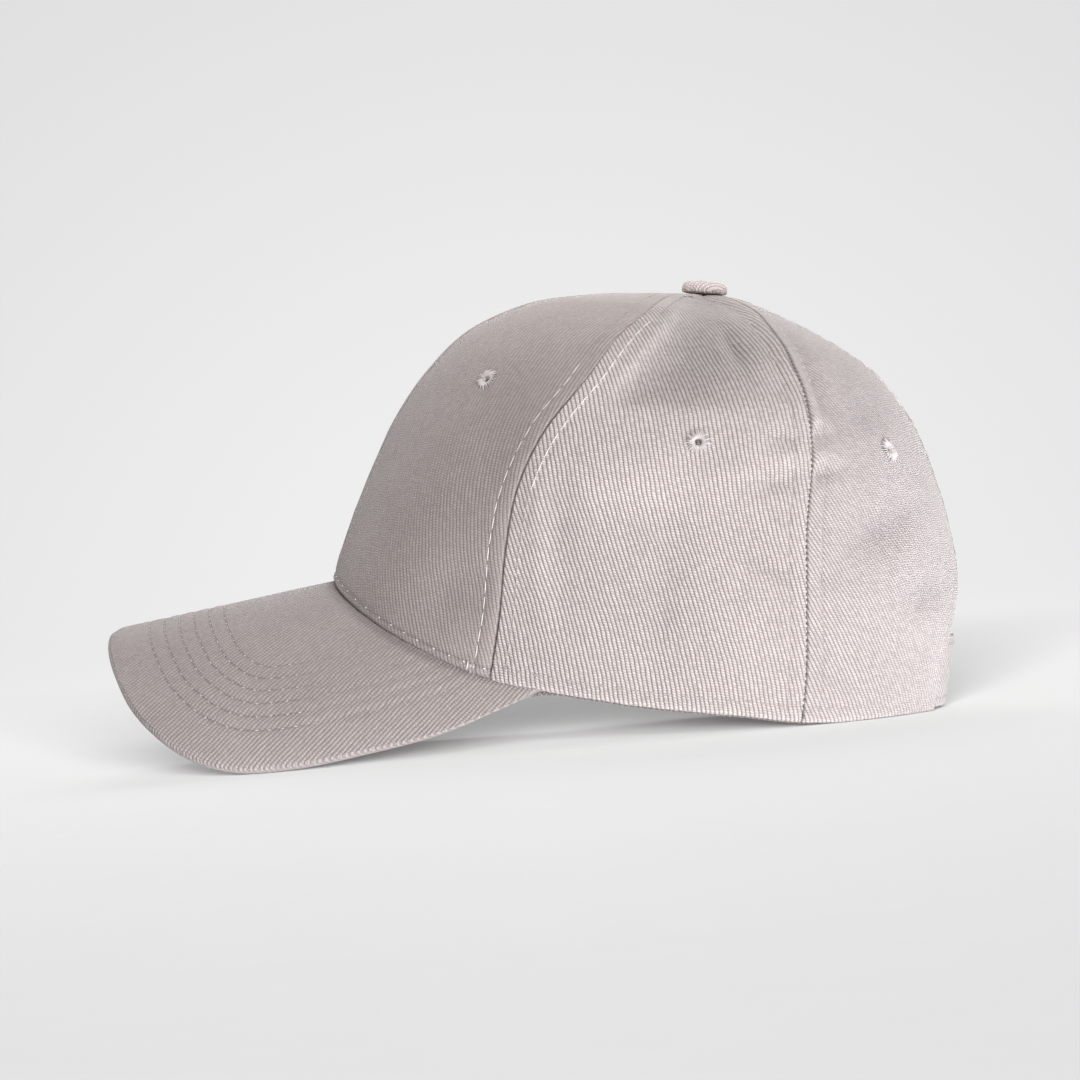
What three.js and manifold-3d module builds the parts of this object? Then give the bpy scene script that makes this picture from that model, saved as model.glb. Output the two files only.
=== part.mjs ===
// A six-panel cap in plain cotton twill, standing as it does by itself on a table:
// on the two lower corners of its peak and on the flat rear part of its rim.
// Millimetres, +Z up. The peak points to -Y and the wearer's left is +X.

import * as THREE from 'three';
import { mergeVertices } from 'three/addons/utils/BufferGeometryUtils.js';
import Module from 'manifold-3d';

const wasm = await Module();
wasm.setup();

// Driving dimensions
const CLOTH = 1.6;             // crown wall, with the turned cloth behind its seams
const GAP = 0.3;               // clearance between neighbouring pieces
const BAND_HEIGHT = 30;        // sweatband
const BAND_CLOTH = 1.2;
const BAND_PAST_RIM = 0.6;     // the band shows this far below the rim at the sides
const ARCH_HALF_WIDTH = 36;    // half-moon opening at the back
const ARCH_HEIGHT = 40;
const STRAP_HEIGHT = 22;       // closure strap across that opening
const STRAP_CLOTH = 1.4;
const STRAP_TUCK = 10;         // how far the strap runs on behind each side of the opening
const PEAK_RADIUS = 84;        // the peak is arched across like part of a cylinder
const PEAK_THICKNESS = 3;
const PEAK_TEMPLE_THICKNESS = 1;
const PEAK_ROLL = 0.9;         // how far its upper and lower cloth turn in at the edge
const PEAK_RIDGE = { y: -68.6, z: 56.4, slope: 0.133 };
const PEAK_END_ANGLE = 69.5;   // where the peak ends at each temple, round the crown
const TOP_RADIUS = 1.9;        // hole at the top of the crown, where the panels meet
const BUTTON_RADIUS = 7.25;
const BUTTON_HEIGHT = 4.3;
const BUTTON_TILT = 9;         // degrees, down to the rear
const SHANK_LENGTH = 3.2;
const EYELET_HOLE = 2.2;       // radius of the hole in the cloth
const EYELET_BORE = 1.4;
const EYELET_FLANGE = 3.65;
const CENTRE_Y = 3.5;         // brings the middle of the cap's length to the origin

// How finely each piece is divided
const PANEL_COLUMNS = 12;
const PANEL_ROWS = 17;
const ARCH_COLUMNS = 7;
const BAND_COLUMNS = 52;
const BAND_ROWS = 3;
const STRAP_COLUMNS = 14;
const STRAP_ROWS = 2;
const PEAK_COLUMNS = 30;
const ROUND_SIDES = 12;

// Crown sections from below the rim up to the top. Each is a slanting slice: where it meets
// the front and the back of the cap, its half-width, how square its plan is (2 is an ellipse),
// the angle round the crown of its two side seams, and how flat the panels are between seams.
const CROWN_COLUMNS = [
  'frontY', 'frontZ', 'backY', 'backZ', 'half', 'square', 'seam1', 'seam2', 'flat',
];
const CROWN_SECTIONS = [
  [-73.8, 32.0, 121.5, -20.7, 77.5, 2.35, 57.5, 126.5, 0.00],
  [-68.1, 55.2, 127.8, 2.5, 78.0, 2.35, 57.5, 125.0, 0.00],
  [-60.5, 74.5, 132.9, 26.0, 78.5, 2.30, 56.0, 122.0, 0.01],
  [-52.0, 92.0, 132.7, 50.0, 77.5, 2.25, 56.5, 121.0, 0.02],
  [-42.6, 108.3, 129.5, 71.0, 74.0, 2.20, 60.0, 123.0, 0.03],
  [-31.2, 122.2, 123.0, 92.0, 68.0, 2.15, 67.0, 124.5, 0.04],
  [-16.5, 133.9, 111.8, 109.2, 58.5, 2.10, 72.5, 125.0, 0.05],
  [4.0, 140.6, 95.5, 122.0, 44.5, 2.05, 78.0, 128.0, 0.06],
  [24.4, 141.4, 80.5, 131.1, 27.5, 2.00, 77.0, 136.0, 0.07],
  [44.0, 139.9, 70.0, 136.1, 12.5, 2.00, 71.0, 131.0, 0.07],
  [59.5, 138.2, 59.5, 138.2, 0.0, 2.00, 62.0, 122.0, 0.07],
];
const LAST_SECTION = CROWN_SECTIONS.length - 1;

// Height of the rim above the table behind the peak, by the angle round the crown
const RIM_COLUMNS = ['angle', 'height'];
const RIM_HEIGHTS = [
  [62.0, 20.4],
  [69.5, 17.6],
  [77.0, 15.0],
  [88.0, 11.4],
  [104.0, 7.3],
  [114.0, 4.8],
  [124.0, 1.8],
  [134.0, 0.0],
  [156.0, 0.0],
  [180.0, 0.0],
];

// Outer edge of the peak from its tip to the temple: distance round the arch, and Y
const PEAK_EDGE_COLUMNS = ['across', 'y'];
const PEAK_EDGE = [
  [0, -140.3],
  [24, -139.6],
  [46, -136.6],
  [68, -130.0],
  [86.4, -117.2],
  [97.2, -101.0],
  [101.0, -81.0],
  [101.4, -59.0],
  [100.4, -35.0],
  [95.2, -10.0],
];

// The eyelet of each panel: angle round the crown and place up the sections
const EYELETS = [
  { name: 'eyelet_front', angle: 38, section: 4.8 },
  { name: 'eyelet_side', angle: 96, section: 4.1 },
  { name: 'eyelet_rear', angle: 149, section: 4.4 },
];

// Smooth curve through the rows of a table, as named values at a place between rows
function between(columns, rows, place) {
  const last = rows.length - 1;
  const clamped = Math.min(Math.max(place, 0), last - 1e-9);
  const i = Math.floor(clamped);
  const t = clamped - i;
  const row = (k) => {
    if (k < 0) return rows[0].map((v, c) => 2 * v - rows[1][c]);
    if (k > last) return rows[last].map((v, c) => 2 * v - rows[last - 1][c]);
    return rows[k];
  };
  const [a, b, c, d] = [row(i - 1), row(i), row(i + 1), row(i + 2)];
  const values = {};
  columns.forEach((name, n) => {
    const square = 2 * a[n] - 5 * b[n] + 4 * c[n] - d[n];
    const cube = 3 * b[n] - a[n] - 3 * c[n] + d[n];
    values[name] = 0.5 * (2 * b[n] + (c[n] - a[n]) * t + square * t * t + cube * t * t * t);
  });
  return values;
}

// Where a rising function crosses zero
function solve(rising, low, high) {
  for (let step = 0; step < 40; step += 1) {
    const middle = (low + high) / 2;
    if (rising(middle) < 0) low = middle;
    else high = middle;
  }
  return (low + high) / 2;
}

// Angle from the front, the same on both sides
function turnedAngle(angle) {
  return Math.abs(THREE.MathUtils.euclideanModulo(angle + 180, 360) - 180);
}

function sectionCentre(place) {
  const s = between(CROWN_COLUMNS, CROWN_SECTIONS, place);
  return new THREE.Vector3(0, (s.frontY + s.backY) / 2, (s.frontZ + s.backZ) / 2);
}

// The crown's outer surface, by the angle from the front and the place up the sections
function crownPoint(angle, place, flatPanels = true) {
  const s = between(CROWN_COLUMNS, CROWN_SECTIONS, place);
  const along = new THREE.Vector3(0, s.backY - s.frontY, s.backZ - s.frontZ);
  const halfLength = along.length() / 2;
  along.normalize();
  const turn = THREE.MathUtils.degToRad(angle);
  const lengthPart = Math.abs(Math.cos(turn) / Math.max(halfLength, 1e-6)) ** s.square;
  const widthPart = Math.abs(Math.sin(turn) / Math.max(s.half, 1e-6)) ** s.square;
  let radius = (lengthPart + widthPart) ** (-1 / s.square);
  if (flatPanels) {
    const a = turnedAngle(angle);
    const edges = [0, s.seam1, s.seam2, 180];
    const n = a < s.seam1 ? 0 : a < s.seam2 ? 1 : 2;
    const fromMiddle = (2 * (a - edges[n])) / (edges[n + 1] - edges[n]) - 1;
    radius *= 1 - s.flat * (1 - fromMiddle * fromMiddle);
  }
  const point = sectionCentre(place).addScaledVector(along, -radius * Math.cos(turn));
  point.x = radius * Math.sin(turn);
  return point;
}

function crownNormal(angle, place) {
  const turnStep = 0.4;
  const placeStep = 0.02;
  const smooth = (a, p) => crownPoint(a, p, false);
  const round = smooth(angle + turnStep, place).sub(smooth(angle - turnStep, place));
  const up = smooth(angle, place + placeStep).sub(smooth(angle, place - placeStep));
  return round.cross(up).normalize();
}

// A point behind the crown's outer surface
function insidePoint(angle, place, depth) {
  return crownPoint(angle, place).addScaledVector(crownNormal(angle, place), -depth);
}

// Peak surface: a cylinder whose ridge slopes down to the front
function ridgeHeight(y) {
  return PEAK_RIDGE.z + (y - PEAK_RIDGE.y) * PEAK_RIDGE.slope;
}

function peakHeight(x, y, outwards) {
  const radius = PEAK_RADIUS + outwards;
  return ridgeHeight(y) - PEAK_RADIUS + Math.sqrt(Math.max(radius * radius - x * x, 0));
}

// Rim: on the peak in front, and by the table of heights behind it
function rimHeight(angle, x, y) {
  const a = turnedAngle(angle);
  if (a < PEAK_END_ANGLE) return peakHeight(x, y, GAP);
  const row = RIM_HEIGHTS.findIndex((r) => r[0] > a - 1e-9);
  const before = RIM_HEIGHTS[row - 1];
  const part = (a - before[0]) / (RIM_HEIGHTS[row][0] - before[0]);
  return Math.max(between(RIM_COLUMNS, RIM_HEIGHTS, row - 1 + part).height, 0);
}

function archHeight(x) {
  const part = Math.abs(x) / ARCH_HALF_WIDTH;
  return part < 1 ? ARCH_HEIGHT * Math.sqrt(1 - part * part) : 0;
}

// Place up the sections where the surface is at a height that may depend on the point
function placeAt(angleAt, heightAt, low = 0, high = 7) {
  const above = (place) => {
    const angle = angleAt(place);
    const p = crownPoint(angle, place);
    return p.z - heightAt(angle, p.x, p.y);
  };
  return solve(above, low, high);
}

// Angle near the back at which the surface is at a given distance from the middle
function rearAngleAt(x, height) {
  const over = (angle) => {
    const place = placeAt(() => angle, () => height);
    return x - crownPoint(angle, place).x;
  };
  return solve(over, 120, 180);
}

// A box bent into a sheet: place(column, row, outer) gives each corner its position
function bentSheet(columns, rows, place) {
  const box = new THREE.BoxGeometry(1, 1, 1, columns, rows, 1);
  box.deleteAttribute('normal');
  box.deleteAttribute('uv');
  const sheet = mergeVertices(box, 1e-5);
  const position = sheet.getAttribute('position');
  for (let v = 0; v < position.count; v += 1) {
    const column = Math.round((position.getX(v) + 0.5) * columns);
    const row = Math.round((position.getY(v) + 0.5) * rows);
    const point = place(column, row, position.getZ(v) > 0);
    position.setXYZ(v, point.x, point.y, point.z);
  }
  return sheet;
}

function asSolid(geometry) {
  const bare = geometry.clone();
  bare.deleteAttribute('normal');
  bare.deleteAttribute('uv');
  const merged = mergeVertices(bare, 1e-5);
  return new wasm.Manifold(new wasm.Mesh({
    numProp: 3,
    vertProperties: new Float32Array(merged.getAttribute('position').array),
    triVerts: new Uint32Array(merged.index.array),
  }));
}

function asGeometry(solid) {
  const mesh = solid.getMesh();
  const geometry = new THREE.BufferGeometry();
  const corners = new Float32Array(mesh.vertProperties);
  geometry.setAttribute('position', new THREE.BufferAttribute(corners, 3));
  geometry.setIndex(new THREE.BufferAttribute(new Uint32Array(mesh.triVerts), 1));
  return geometry;
}

function namedMesh(name, geometry, material) {
  geometry.computeVertexNormals();
  const mesh = new THREE.Mesh(geometry, material);
  mesh.name = name;
  return mesh;
}

const twill = new THREE.MeshStandardMaterial({ color: 0xbdb2b0, roughness: 0.92, metalness: 0 });
const thread = new THREE.MeshStandardMaterial({ color: 0xd9d0ce, roughness: 0.7, metalness: 0 });
const bandCloth = new THREE.MeshStandardMaterial({ color: 0xaaa09e, roughness: 0.95, metalness: 0 });

const cap = new THREE.Group();
cap.position.y = CENTRE_Y;

// Crown panels, three on each side, each between two seams
const PANELS = [
  { name: 'panel_front', seams: ['front', 'seam1'], eyelet: EYELETS[0] },
  { name: 'panel_side', seams: ['seam1', 'seam2'], eyelet: EYELETS[1] },
  { name: 'panel_rear', seams: ['seam2', 'back'], eyelet: EYELETS[2] },
];

function seamAngle(seam, place) {
  if (seam === 'front') return 0;
  if (seam === 'back') return 180;
  return between(CROWN_COLUMNS, CROWN_SECTIONS, place)[seam];
}

// Angle of a panel's point that lies a fraction of the way from its first seam to its second
function panelAngle(panel, side, place, fraction) {
  const [first, last] = panel.seams.map((seam) => seamAngle(seam, place));
  const middle = crownPoint((first + last) / 2, place, false);
  const fromCentre = middle.distanceTo(sectionCentre(place));
  const margin = THREE.MathUtils.radToDeg(GAP / 2 / fromCentre);
  const from = first + margin;
  const to = last - margin;
  return side * (from + (to - from) * fraction);
}

// Columns of a rear panel: even up to the foot of the opening, then round its arch
function rearFractions(panel) {
  const plainColumns = PANEL_COLUMNS - ARCH_COLUMNS;
  const fractions = [];
  const footAngle = rearAngleAt(ARCH_HALF_WIDTH, 0);
  const footPlace = placeAt(() => footAngle, () => 0);
  const start = panelAngle(panel, 1, footPlace, 0);
  const span = panelAngle(panel, 1, footPlace, 1) - start;
  const foot = (footAngle - start) / span;
  for (let i = 0; i < plainColumns; i += 1) fractions.push((foot * i) / plainColumns);
  for (let i = 0; i <= ARCH_COLUMNS; i += 1) {
    const turn = (Math.PI / 2) * (i / ARCH_COLUMNS);
    const x = ARCH_HALF_WIDTH * Math.cos(turn);
    const height = ARCH_HEIGHT * Math.sin(turn);
    const angle = i === ARCH_COLUMNS ? 180 : rearAngleAt(x, height);
    const place = placeAt(() => angle, () => height);
    const first = panelAngle(panel, 1, place, 0);
    const last = panelAngle(panel, 1, place, 1);
    fractions.push(Math.min((angle - first) / (last - first), 1));
  }
  return fractions;
}

function panelGeometry(panel, side) {
  const isRear = panel.seams[1] === 'back';
  const even = Array.from({ length: PANEL_COLUMNS + 1 }, (_, i) => i / PANEL_COLUMNS);
  const fractions = isRear ? rearFractions(panel) : even;
  const edge = (angle, x, y) => Math.max(rimHeight(angle, x, y), isRear ? archHeight(x) : 0);
  const columns = fractions.map((fraction) => {
    const angleAt = (place) => panelAngle(panel, side, place, fraction);
    const low = placeAt(angleAt, edge);
    const fromTop = (place) => {
      const p = crownPoint(angleAt(place), place, false);
      const top = crownPoint(0, LAST_SECTION, false);
      return TOP_RADIUS - p.distanceTo(top);
    };
    return { angleAt, low, high: solve(fromTop, LAST_SECTION - 2, LAST_SECTION - 1e-4) };
  });
  if (side < 0) columns.reverse();
  return bentSheet(PANEL_COLUMNS, PANEL_ROWS, (c, r, outer) => {
    const { angleAt, low, high } = columns[c];
    const place = low + ((high - low) * r) / PANEL_ROWS;
    const angle = angleAt(place);
    if (outer) return crownPoint(angle, place);
    const point = insidePoint(angle, place, CLOTH);
    const onArch = isRear && archHeight(crownPoint(angle, place).x) > 0.5;
    if (r === 0 && !onArch) point.z = rimHeight(angle, point.x, point.y);
    return point;
  });
}

// Embroidered eyelet: a ring wound round a hole in the cloth, its flange lying on the panel
function eyeletGeometry() {
  const profile = [
    [EYELET_BORE, -CLOTH],
    [EYELET_HOLE - GAP, -CLOTH],
    [EYELET_HOLE - GAP, GAP],
    [EYELET_FLANGE - 0.2, GAP],
    [EYELET_FLANGE, GAP + 0.35],
    [EYELET_FLANGE - 0.6, GAP + 0.8],
    [EYELET_BORE + 0.4, GAP + 0.8],
    [EYELET_BORE, GAP + 0.4],
    [EYELET_BORE, -CLOTH],
  ];
  return new THREE.LatheGeometry(profile.map(([r, t]) => new THREE.Vector2(r, t)), ROUND_SIDES);
}

function eyeletFrame(eyelet, side) {
  const position = crownPoint(side * eyelet.angle, eyelet.section);
  const normal = crownNormal(side * eyelet.angle, eyelet.section);
  const quaternion = new THREE.Quaternion().setFromUnitVectors(new THREE.Vector3(0, 1, 0), normal);
  return { position, quaternion };
}

for (const [side, word] of [[1, 'left'], [-1, 'right']]) {
  for (const panel of PANELS) {
    const { position, quaternion } = eyeletFrame(panel.eyelet, side);
    const hole = new THREE.CylinderGeometry(EYELET_HOLE, EYELET_HOLE, 4 * CLOTH, ROUND_SIDES);
    hole.applyMatrix4(new THREE.Matrix4().compose(position, quaternion, new THREE.Vector3(1, 1, 1)));
    const cut = asSolid(panelGeometry(panel, side)).subtract(asSolid(hole));
    cap.add(namedMesh(`${panel.name}_${word}`, asGeometry(cut), twill));

    const eyelet = namedMesh(`${panel.eyelet.name}_${word}`, eyeletGeometry(), thread);
    eyelet.position.copy(position);
    eyelet.quaternion.copy(quaternion);
    cap.add(eyelet);
  }
}

// Covered button, its shank through the hole where the six panels meet
function addButton() {
  const tilt = THREE.MathUtils.degToRad(BUTTON_TILT);
  const axis = new THREE.Vector3(0, Math.sin(tilt), Math.cos(tilt));
  const top = crownPoint(0, LAST_SECTION, false);
  let seat = 0;
  for (let angle = 0; angle <= 180; angle += 10) {
    for (let place = LAST_SECTION - 1.2; place <= LAST_SECTION; place += 0.1) {
      const offset = crownPoint(angle, place, false).sub(top);
      const height = offset.dot(axis);
      const out = Math.sqrt(Math.max(offset.lengthSq() - height * height, 0));
      if (out <= BUTTON_RADIUS) seat = Math.max(seat, height);
    }
  }
  const shank = TOP_RADIUS - GAP;
  const profile = [
    [0, -SHANK_LENGTH],
    [shank, -SHANK_LENGTH],
    [shank, 0],
    [BUTTON_RADIUS - 0.6, 0],
    [BUTTON_RADIUS, BUTTON_HEIGHT * 0.22],
    [BUTTON_RADIUS - 0.1, BUTTON_HEIGHT * 0.5],
    [BUTTON_RADIUS - 1.2, BUTTON_HEIGHT * 0.8],
    [BUTTON_RADIUS - 3.4, BUTTON_HEIGHT * 0.96],
    [0, BUTTON_HEIGHT],
  ];
  const points = profile.map(([r, t]) => new THREE.Vector2(r, t));
  const geometry = new THREE.LatheGeometry(points, ROUND_SIDES * 2);
  const button = namedMesh('button', geometry, twill);
  button.position.copy(top).addScaledVector(axis, seat + GAP);
  button.quaternion.setFromUnitVectors(new THREE.Vector3(0, 1, 0), axis);
  cap.add(button);
}
addButton();

// Where the peak's surface, or its lower face at a depth, meets the inside of the crown's wall
function peakRoot(angle, depth) {
  const above = (place) => {
    const p = insidePoint(angle, place, CLOTH);
    return p.z - peakHeight(p.x, p.y, -depth);
  };
  return insidePoint(angle, solve(above, 0, 3), CLOTH);
}

// Peak: its root lies under the crown's rim, its edge follows the table, and it thins at the temples
function peakGeometry() {
  const inwards = [0, 0.012, 0.04, 0.2, 0.4, 0.62, 0.82, 1];
  const rows = inwards.length - 1;
  const columns = Array.from({ length: PEAK_COLUMNS + 1 }, (_, i) => {
    const t = (2 * i) / PEAK_COLUMNS - 1;
    const angle = t * (PEAK_END_ANGLE - 0.3);
    const edge = between(PEAK_EDGE_COLUMNS, PEAK_EDGE, Math.abs(t) * (PEAK_EDGE.length - 1));
    const taper = THREE.MathUtils.smoothstep(Math.abs(t), 0.72, 1);
    const thickness = THREE.MathUtils.lerp(PEAK_THICKNESS, PEAK_TEMPLE_THICKNESS, taper);
    const roots = [peakRoot(angle, thickness), peakRoot(angle, 0)];
    return { roots, edge: { turn: (Math.sign(t) * edge.across) / PEAK_RADIUS, y: edge.y }, thickness };
  });
  return bentSheet(PEAK_COLUMNS, rows, (c, r, upper) => {
    const { roots, edge, thickness } = columns[c];
    const root = roots[upper ? 1 : 0];
    const roll = r === 0 ? PEAK_ROLL * (thickness / PEAK_THICKNESS) : 0;
    const depth = upper ? roll : thickness - roll;
    const radius = PEAK_RADIUS - depth;
    const rootTurn = Math.asin(root.x / radius);
    const turn = THREE.MathUtils.lerp(edge.turn, rootTurn, inwards[r]);
    const y = THREE.MathUtils.lerp(edge.y, root.y, inwards[r]);
    const z = ridgeHeight(y) - PEAK_RADIUS + radius * Math.cos(turn);
    return new THREE.Vector3(radius * Math.sin(turn), y, Math.max(z, 0));
  });
}
cap.add(namedMesh('peak', peakGeometry(), twill));

// Strap and sweatband lie one behind the other's end, against the inside of the crown
const strapEnd = rearAngleAt(ARCH_HALF_WIDTH + STRAP_TUCK, STRAP_HEIGHT / 2);
const FACET_ROOM = 0.15;       // two bent sheets back to back need this more between their facets
const BEHIND_CROWN = CLOTH + GAP + FACET_ROOM;

function stripGeometry(columns, rows, angles, edges, cloth) {
  return bentSheet(columns, rows, (c, r, outer) => {
    const angle = THREE.MathUtils.lerp(angles.from, angles.to, c / columns);
    const low = placeAt(() => angle, edges.low);
    const high = placeAt(() => angle, edges.high);
    const depth = outer ? BEHIND_CROWN : BEHIND_CROWN + cloth;
    return insidePoint(angle, low + ((high - low) * r) / rows, depth);
  });
}

const strapAngles = { from: strapEnd, to: 360 - strapEnd };
const strapEdges = { low: () => GAP, high: () => GAP + STRAP_HEIGHT };
const strap = stripGeometry(STRAP_COLUMNS, STRAP_ROWS, strapAngles, strapEdges, STRAP_CLOTH);
cap.add(namedMesh('back_strap', strap, twill));

// The band hangs a little past the rim, but stays above the table, and covers the peak's root
function bandLow(angle, x, y) {
  const a = turnedAngle(angle);
  const atPeak = THREE.MathUtils.smoothstep(PEAK_END_ANGLE + 4 - a, 0, 12);
  const drop = THREE.MathUtils.lerp(BAND_PAST_RIM, PEAK_THICKNESS + GAP, atPeak);
  return Math.max(rimHeight(angle, x, y) - drop, GAP);
}

const bandEnd = strapEnd - THREE.MathUtils.radToDeg(GAP / CROWN_SECTIONS[1][4]) * 2;
const bandEdges = { low: bandLow, high: (angle, x, y) => rimHeight(angle, x, y) + BAND_HEIGHT };
const bandAngles = { from: -bandEnd, to: bandEnd };
const band = stripGeometry(BAND_COLUMNS, BAND_ROWS, bandAngles, bandEdges, BAND_CLOTH);
cap.add(namedMesh('sweatband', band, bandCloth));

export default cap;
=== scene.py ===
# %% [markdown]
# # A six-panel cap in cotton twill
#
# The cap is sewn from six cloth panels, a stiff arched peak, a sweatband, a strap and
# a covered button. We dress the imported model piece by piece: each soft piece gets its
# own mesh with seams, stitches and weave, in the place that the plain solid holds.
# All sizes are in millimetres until the moment when a mesh is written.

import bmesh
import bpy
import numpy as np
from mathutils import Matrix, Vector, noise


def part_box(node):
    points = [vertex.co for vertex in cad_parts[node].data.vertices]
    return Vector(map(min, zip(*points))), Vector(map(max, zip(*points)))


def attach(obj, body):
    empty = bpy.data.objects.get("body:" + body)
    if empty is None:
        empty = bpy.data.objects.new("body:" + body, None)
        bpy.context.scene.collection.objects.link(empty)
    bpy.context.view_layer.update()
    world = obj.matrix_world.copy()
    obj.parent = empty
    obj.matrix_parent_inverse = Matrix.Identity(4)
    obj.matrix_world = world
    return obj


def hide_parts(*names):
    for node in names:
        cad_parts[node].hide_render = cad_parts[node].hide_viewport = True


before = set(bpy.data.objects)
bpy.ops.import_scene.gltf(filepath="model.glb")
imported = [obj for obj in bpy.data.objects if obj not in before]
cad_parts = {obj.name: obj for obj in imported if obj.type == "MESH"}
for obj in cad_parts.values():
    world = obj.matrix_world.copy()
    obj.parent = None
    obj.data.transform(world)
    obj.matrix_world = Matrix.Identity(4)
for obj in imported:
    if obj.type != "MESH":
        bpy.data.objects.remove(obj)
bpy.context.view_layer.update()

scene = bpy.context.scene
print("nodes in the frame:", sorted(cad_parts))

# %% [markdown]
# ## The crown as one smooth form
#
# A cap's crown is a dome that was drawn by a pattern maker, so no ready primitive fits.
# It could be sculpted, but the solids already follow a short table of slanting sections.
# The same table is used here, so that each dressed piece lands on its solid.

# %% Sizes and tables
MM = 0.001
CLOTH = 1.6                # crown wall
CLEARANCE = 0.3
CENTRE_Y = 3.5             # the crown's own Y zero lies this far behind the origin
TOP_RADIUS = 1.9
PEAK_RADIUS = 84
PEAK_RIDGE_Y, PEAK_RIDGE_Z, PEAK_SLOPE = -68.6, 56.4, 0.133
PEAK_END_ANGLE = 69.5
ARCH_HALF_WIDTH = 36
ARCH_HEIGHT = 40

# Front Y and Z, back Y and Z, half-width, squareness, angles of the two side seams, flatness
CROWN_SECTIONS = np.array([
    [-73.8, 32.0, 121.5, -20.7, 77.5, 2.35, 57.5, 126.5, 0.00],
    [-68.1, 55.2, 127.8, 2.5, 78.0, 2.35, 57.5, 125.0, 0.00],
    [-60.5, 74.5, 132.9, 26.0, 78.5, 2.30, 56.0, 122.0, 0.01],
    [-52.0, 92.0, 132.7, 50.0, 77.5, 2.25, 56.5, 121.0, 0.02],
    [-42.6, 108.3, 129.5, 71.0, 74.0, 2.20, 60.0, 123.0, 0.03],
    [-31.2, 122.2, 123.0, 92.0, 68.0, 2.15, 67.0, 124.5, 0.04],
    [-16.5, 133.9, 111.8, 109.2, 58.5, 2.10, 72.5, 125.0, 0.05],
    [4.0, 140.6, 95.5, 122.0, 44.5, 2.05, 78.0, 128.0, 0.06],
    [24.4, 141.4, 80.5, 131.1, 27.5, 2.00, 77.0, 136.0, 0.07],
    [44.0, 139.9, 70.0, 136.1, 12.5, 2.00, 71.0, 131.0, 0.07],
    [59.5, 138.2, 59.5, 138.2, 0.0, 2.00, 62.0, 122.0, 0.07],
])
TOP_SECTION = len(CROWN_SECTIONS) - 1

# Angle round the crown, and the rim's height above the table there
RIM_HEIGHTS = np.array([
    [62.0, 20.4], [69.5, 17.6], [77.0, 15.0], [88.0, 11.4], [104.0, 7.3],
    [114.0, 4.8], [124.0, 1.8], [134.0, 0.0], [156.0, 0.0], [180.0, 0.0],
])

# Outer edge of the peak: distance round its arch from the ridge, and Y
PEAK_EDGE = np.array([
    [0, -140.3], [24, -139.6], [46, -136.6], [68, -130.0], [86.4, -117.2],
    [97.2, -101.0], [101.0, -81.0], [101.4, -59.0], [100.4, -35.0], [95.2, -10.0],
])


# %% Curves through tables, and the crown's surface
def curve_through(table, place):
    """Values of the smooth curve through a table's rows, at places between the rows."""
    table = np.asarray(table, float)
    last = len(table) - 1
    place = np.clip(np.asarray(place, float), 0, last - 1e-9)
    row = np.floor(place).astype(int)
    t = (place - row)[..., None]
    rows = np.vstack([2 * table[0] - table[1], table, 2 * table[-1] - table[-2]])
    a, b, c, d = rows[row], rows[row + 1], rows[row + 2], rows[row + 3]
    bend = 2 * a - 5 * b + 4 * c - d
    return 0.5 * (2 * b + (c - a) * t + bend * t ** 2 + (3 * b - a - 3 * c + d) * t ** 3)


def folded_angle(angle):
    """Angle from the front, the same on both sides."""
    return np.abs((np.asarray(angle, float) + 180) % 360 - 180)


def crown_point(angle, place, flat_panels=True):
    """Points of the crown's outer surface."""
    angle, place = np.broadcast_arrays(np.asarray(angle, float), np.asarray(place, float))
    s = np.moveaxis(curve_through(CROWN_SECTIONS, place), -1, 0)
    front_y, front_z, back_y, back_z, half, square, seam1, seam2, flat = s
    long_y, long_z = back_y - front_y, back_z - front_z
    length = np.hypot(long_y, long_z)
    long_y, long_z = long_y / np.maximum(length, 1e-6), long_z / np.maximum(length, 1e-6)
    turn = np.radians(angle)
    part_long = np.abs(np.cos(turn) / np.maximum(length / 2, 1e-6)) ** square
    part_wide = np.abs(np.sin(turn) / np.maximum(half, 1e-6)) ** square
    radius = (part_long + part_wide) ** (-1 / square)
    if flat_panels:
        a = folded_angle(angle)
        low = np.where(a < seam1, 0, np.where(a < seam2, seam1, seam2))
        high = np.where(a < seam1, seam1, np.where(a < seam2, seam2, 180))
        from_middle = 2 * (a - low) / (high - low) - 1
        radius = radius * (1 - flat * (1 - from_middle ** 2))
    out = radius * np.cos(turn)
    x = radius * np.sin(turn)
    y = (front_y + back_y) / 2 - long_y * out
    z = (front_z + back_z) / 2 - long_z * out
    return np.stack([x, y, z], -1)


def crown_normal(angle, place):
    """Outward directions of the crown's surface."""
    around = crown_point(angle + 0.4, place, False) - crown_point(angle - 0.4, place, False)
    upward = crown_point(angle, place + 0.02, False) - crown_point(angle, place - 0.02, False)
    normal = np.cross(around, upward)
    return normal / np.linalg.norm(normal, axis=-1, keepdims=True)


def peak_height(x, y, outwards=0.0):
    """Height of the peak's upper face, or of a face outside or inside it."""
    ridge = PEAK_RIDGE_Z + (y - PEAK_RIDGE_Y) * PEAK_SLOPE
    radius = PEAK_RADIUS + outwards
    return ridge - PEAK_RADIUS + np.sqrt(np.maximum(radius ** 2 - x ** 2, 0))


def rim_height(angle, x, y):
    """Height of the crown's lower edge: on the peak in front, by the table behind it."""
    a = folded_angle(angle)
    row = np.interp(a, RIM_HEIGHTS[:, 0], np.arange(len(RIM_HEIGHTS)))
    behind = np.maximum(curve_through(RIM_HEIGHTS, row)[..., 1], 0)
    return np.where(a < PEAK_END_ANGLE, peak_height(x, y, CLEARANCE), behind)


def arch_height(x):
    """Height of the half-moon opening's edge, nought beside the opening."""
    part = np.clip(np.abs(x) / ARCH_HALF_WIDTH, 0, 1)
    return ARCH_HEIGHT * np.sqrt(1 - part ** 2)


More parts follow.
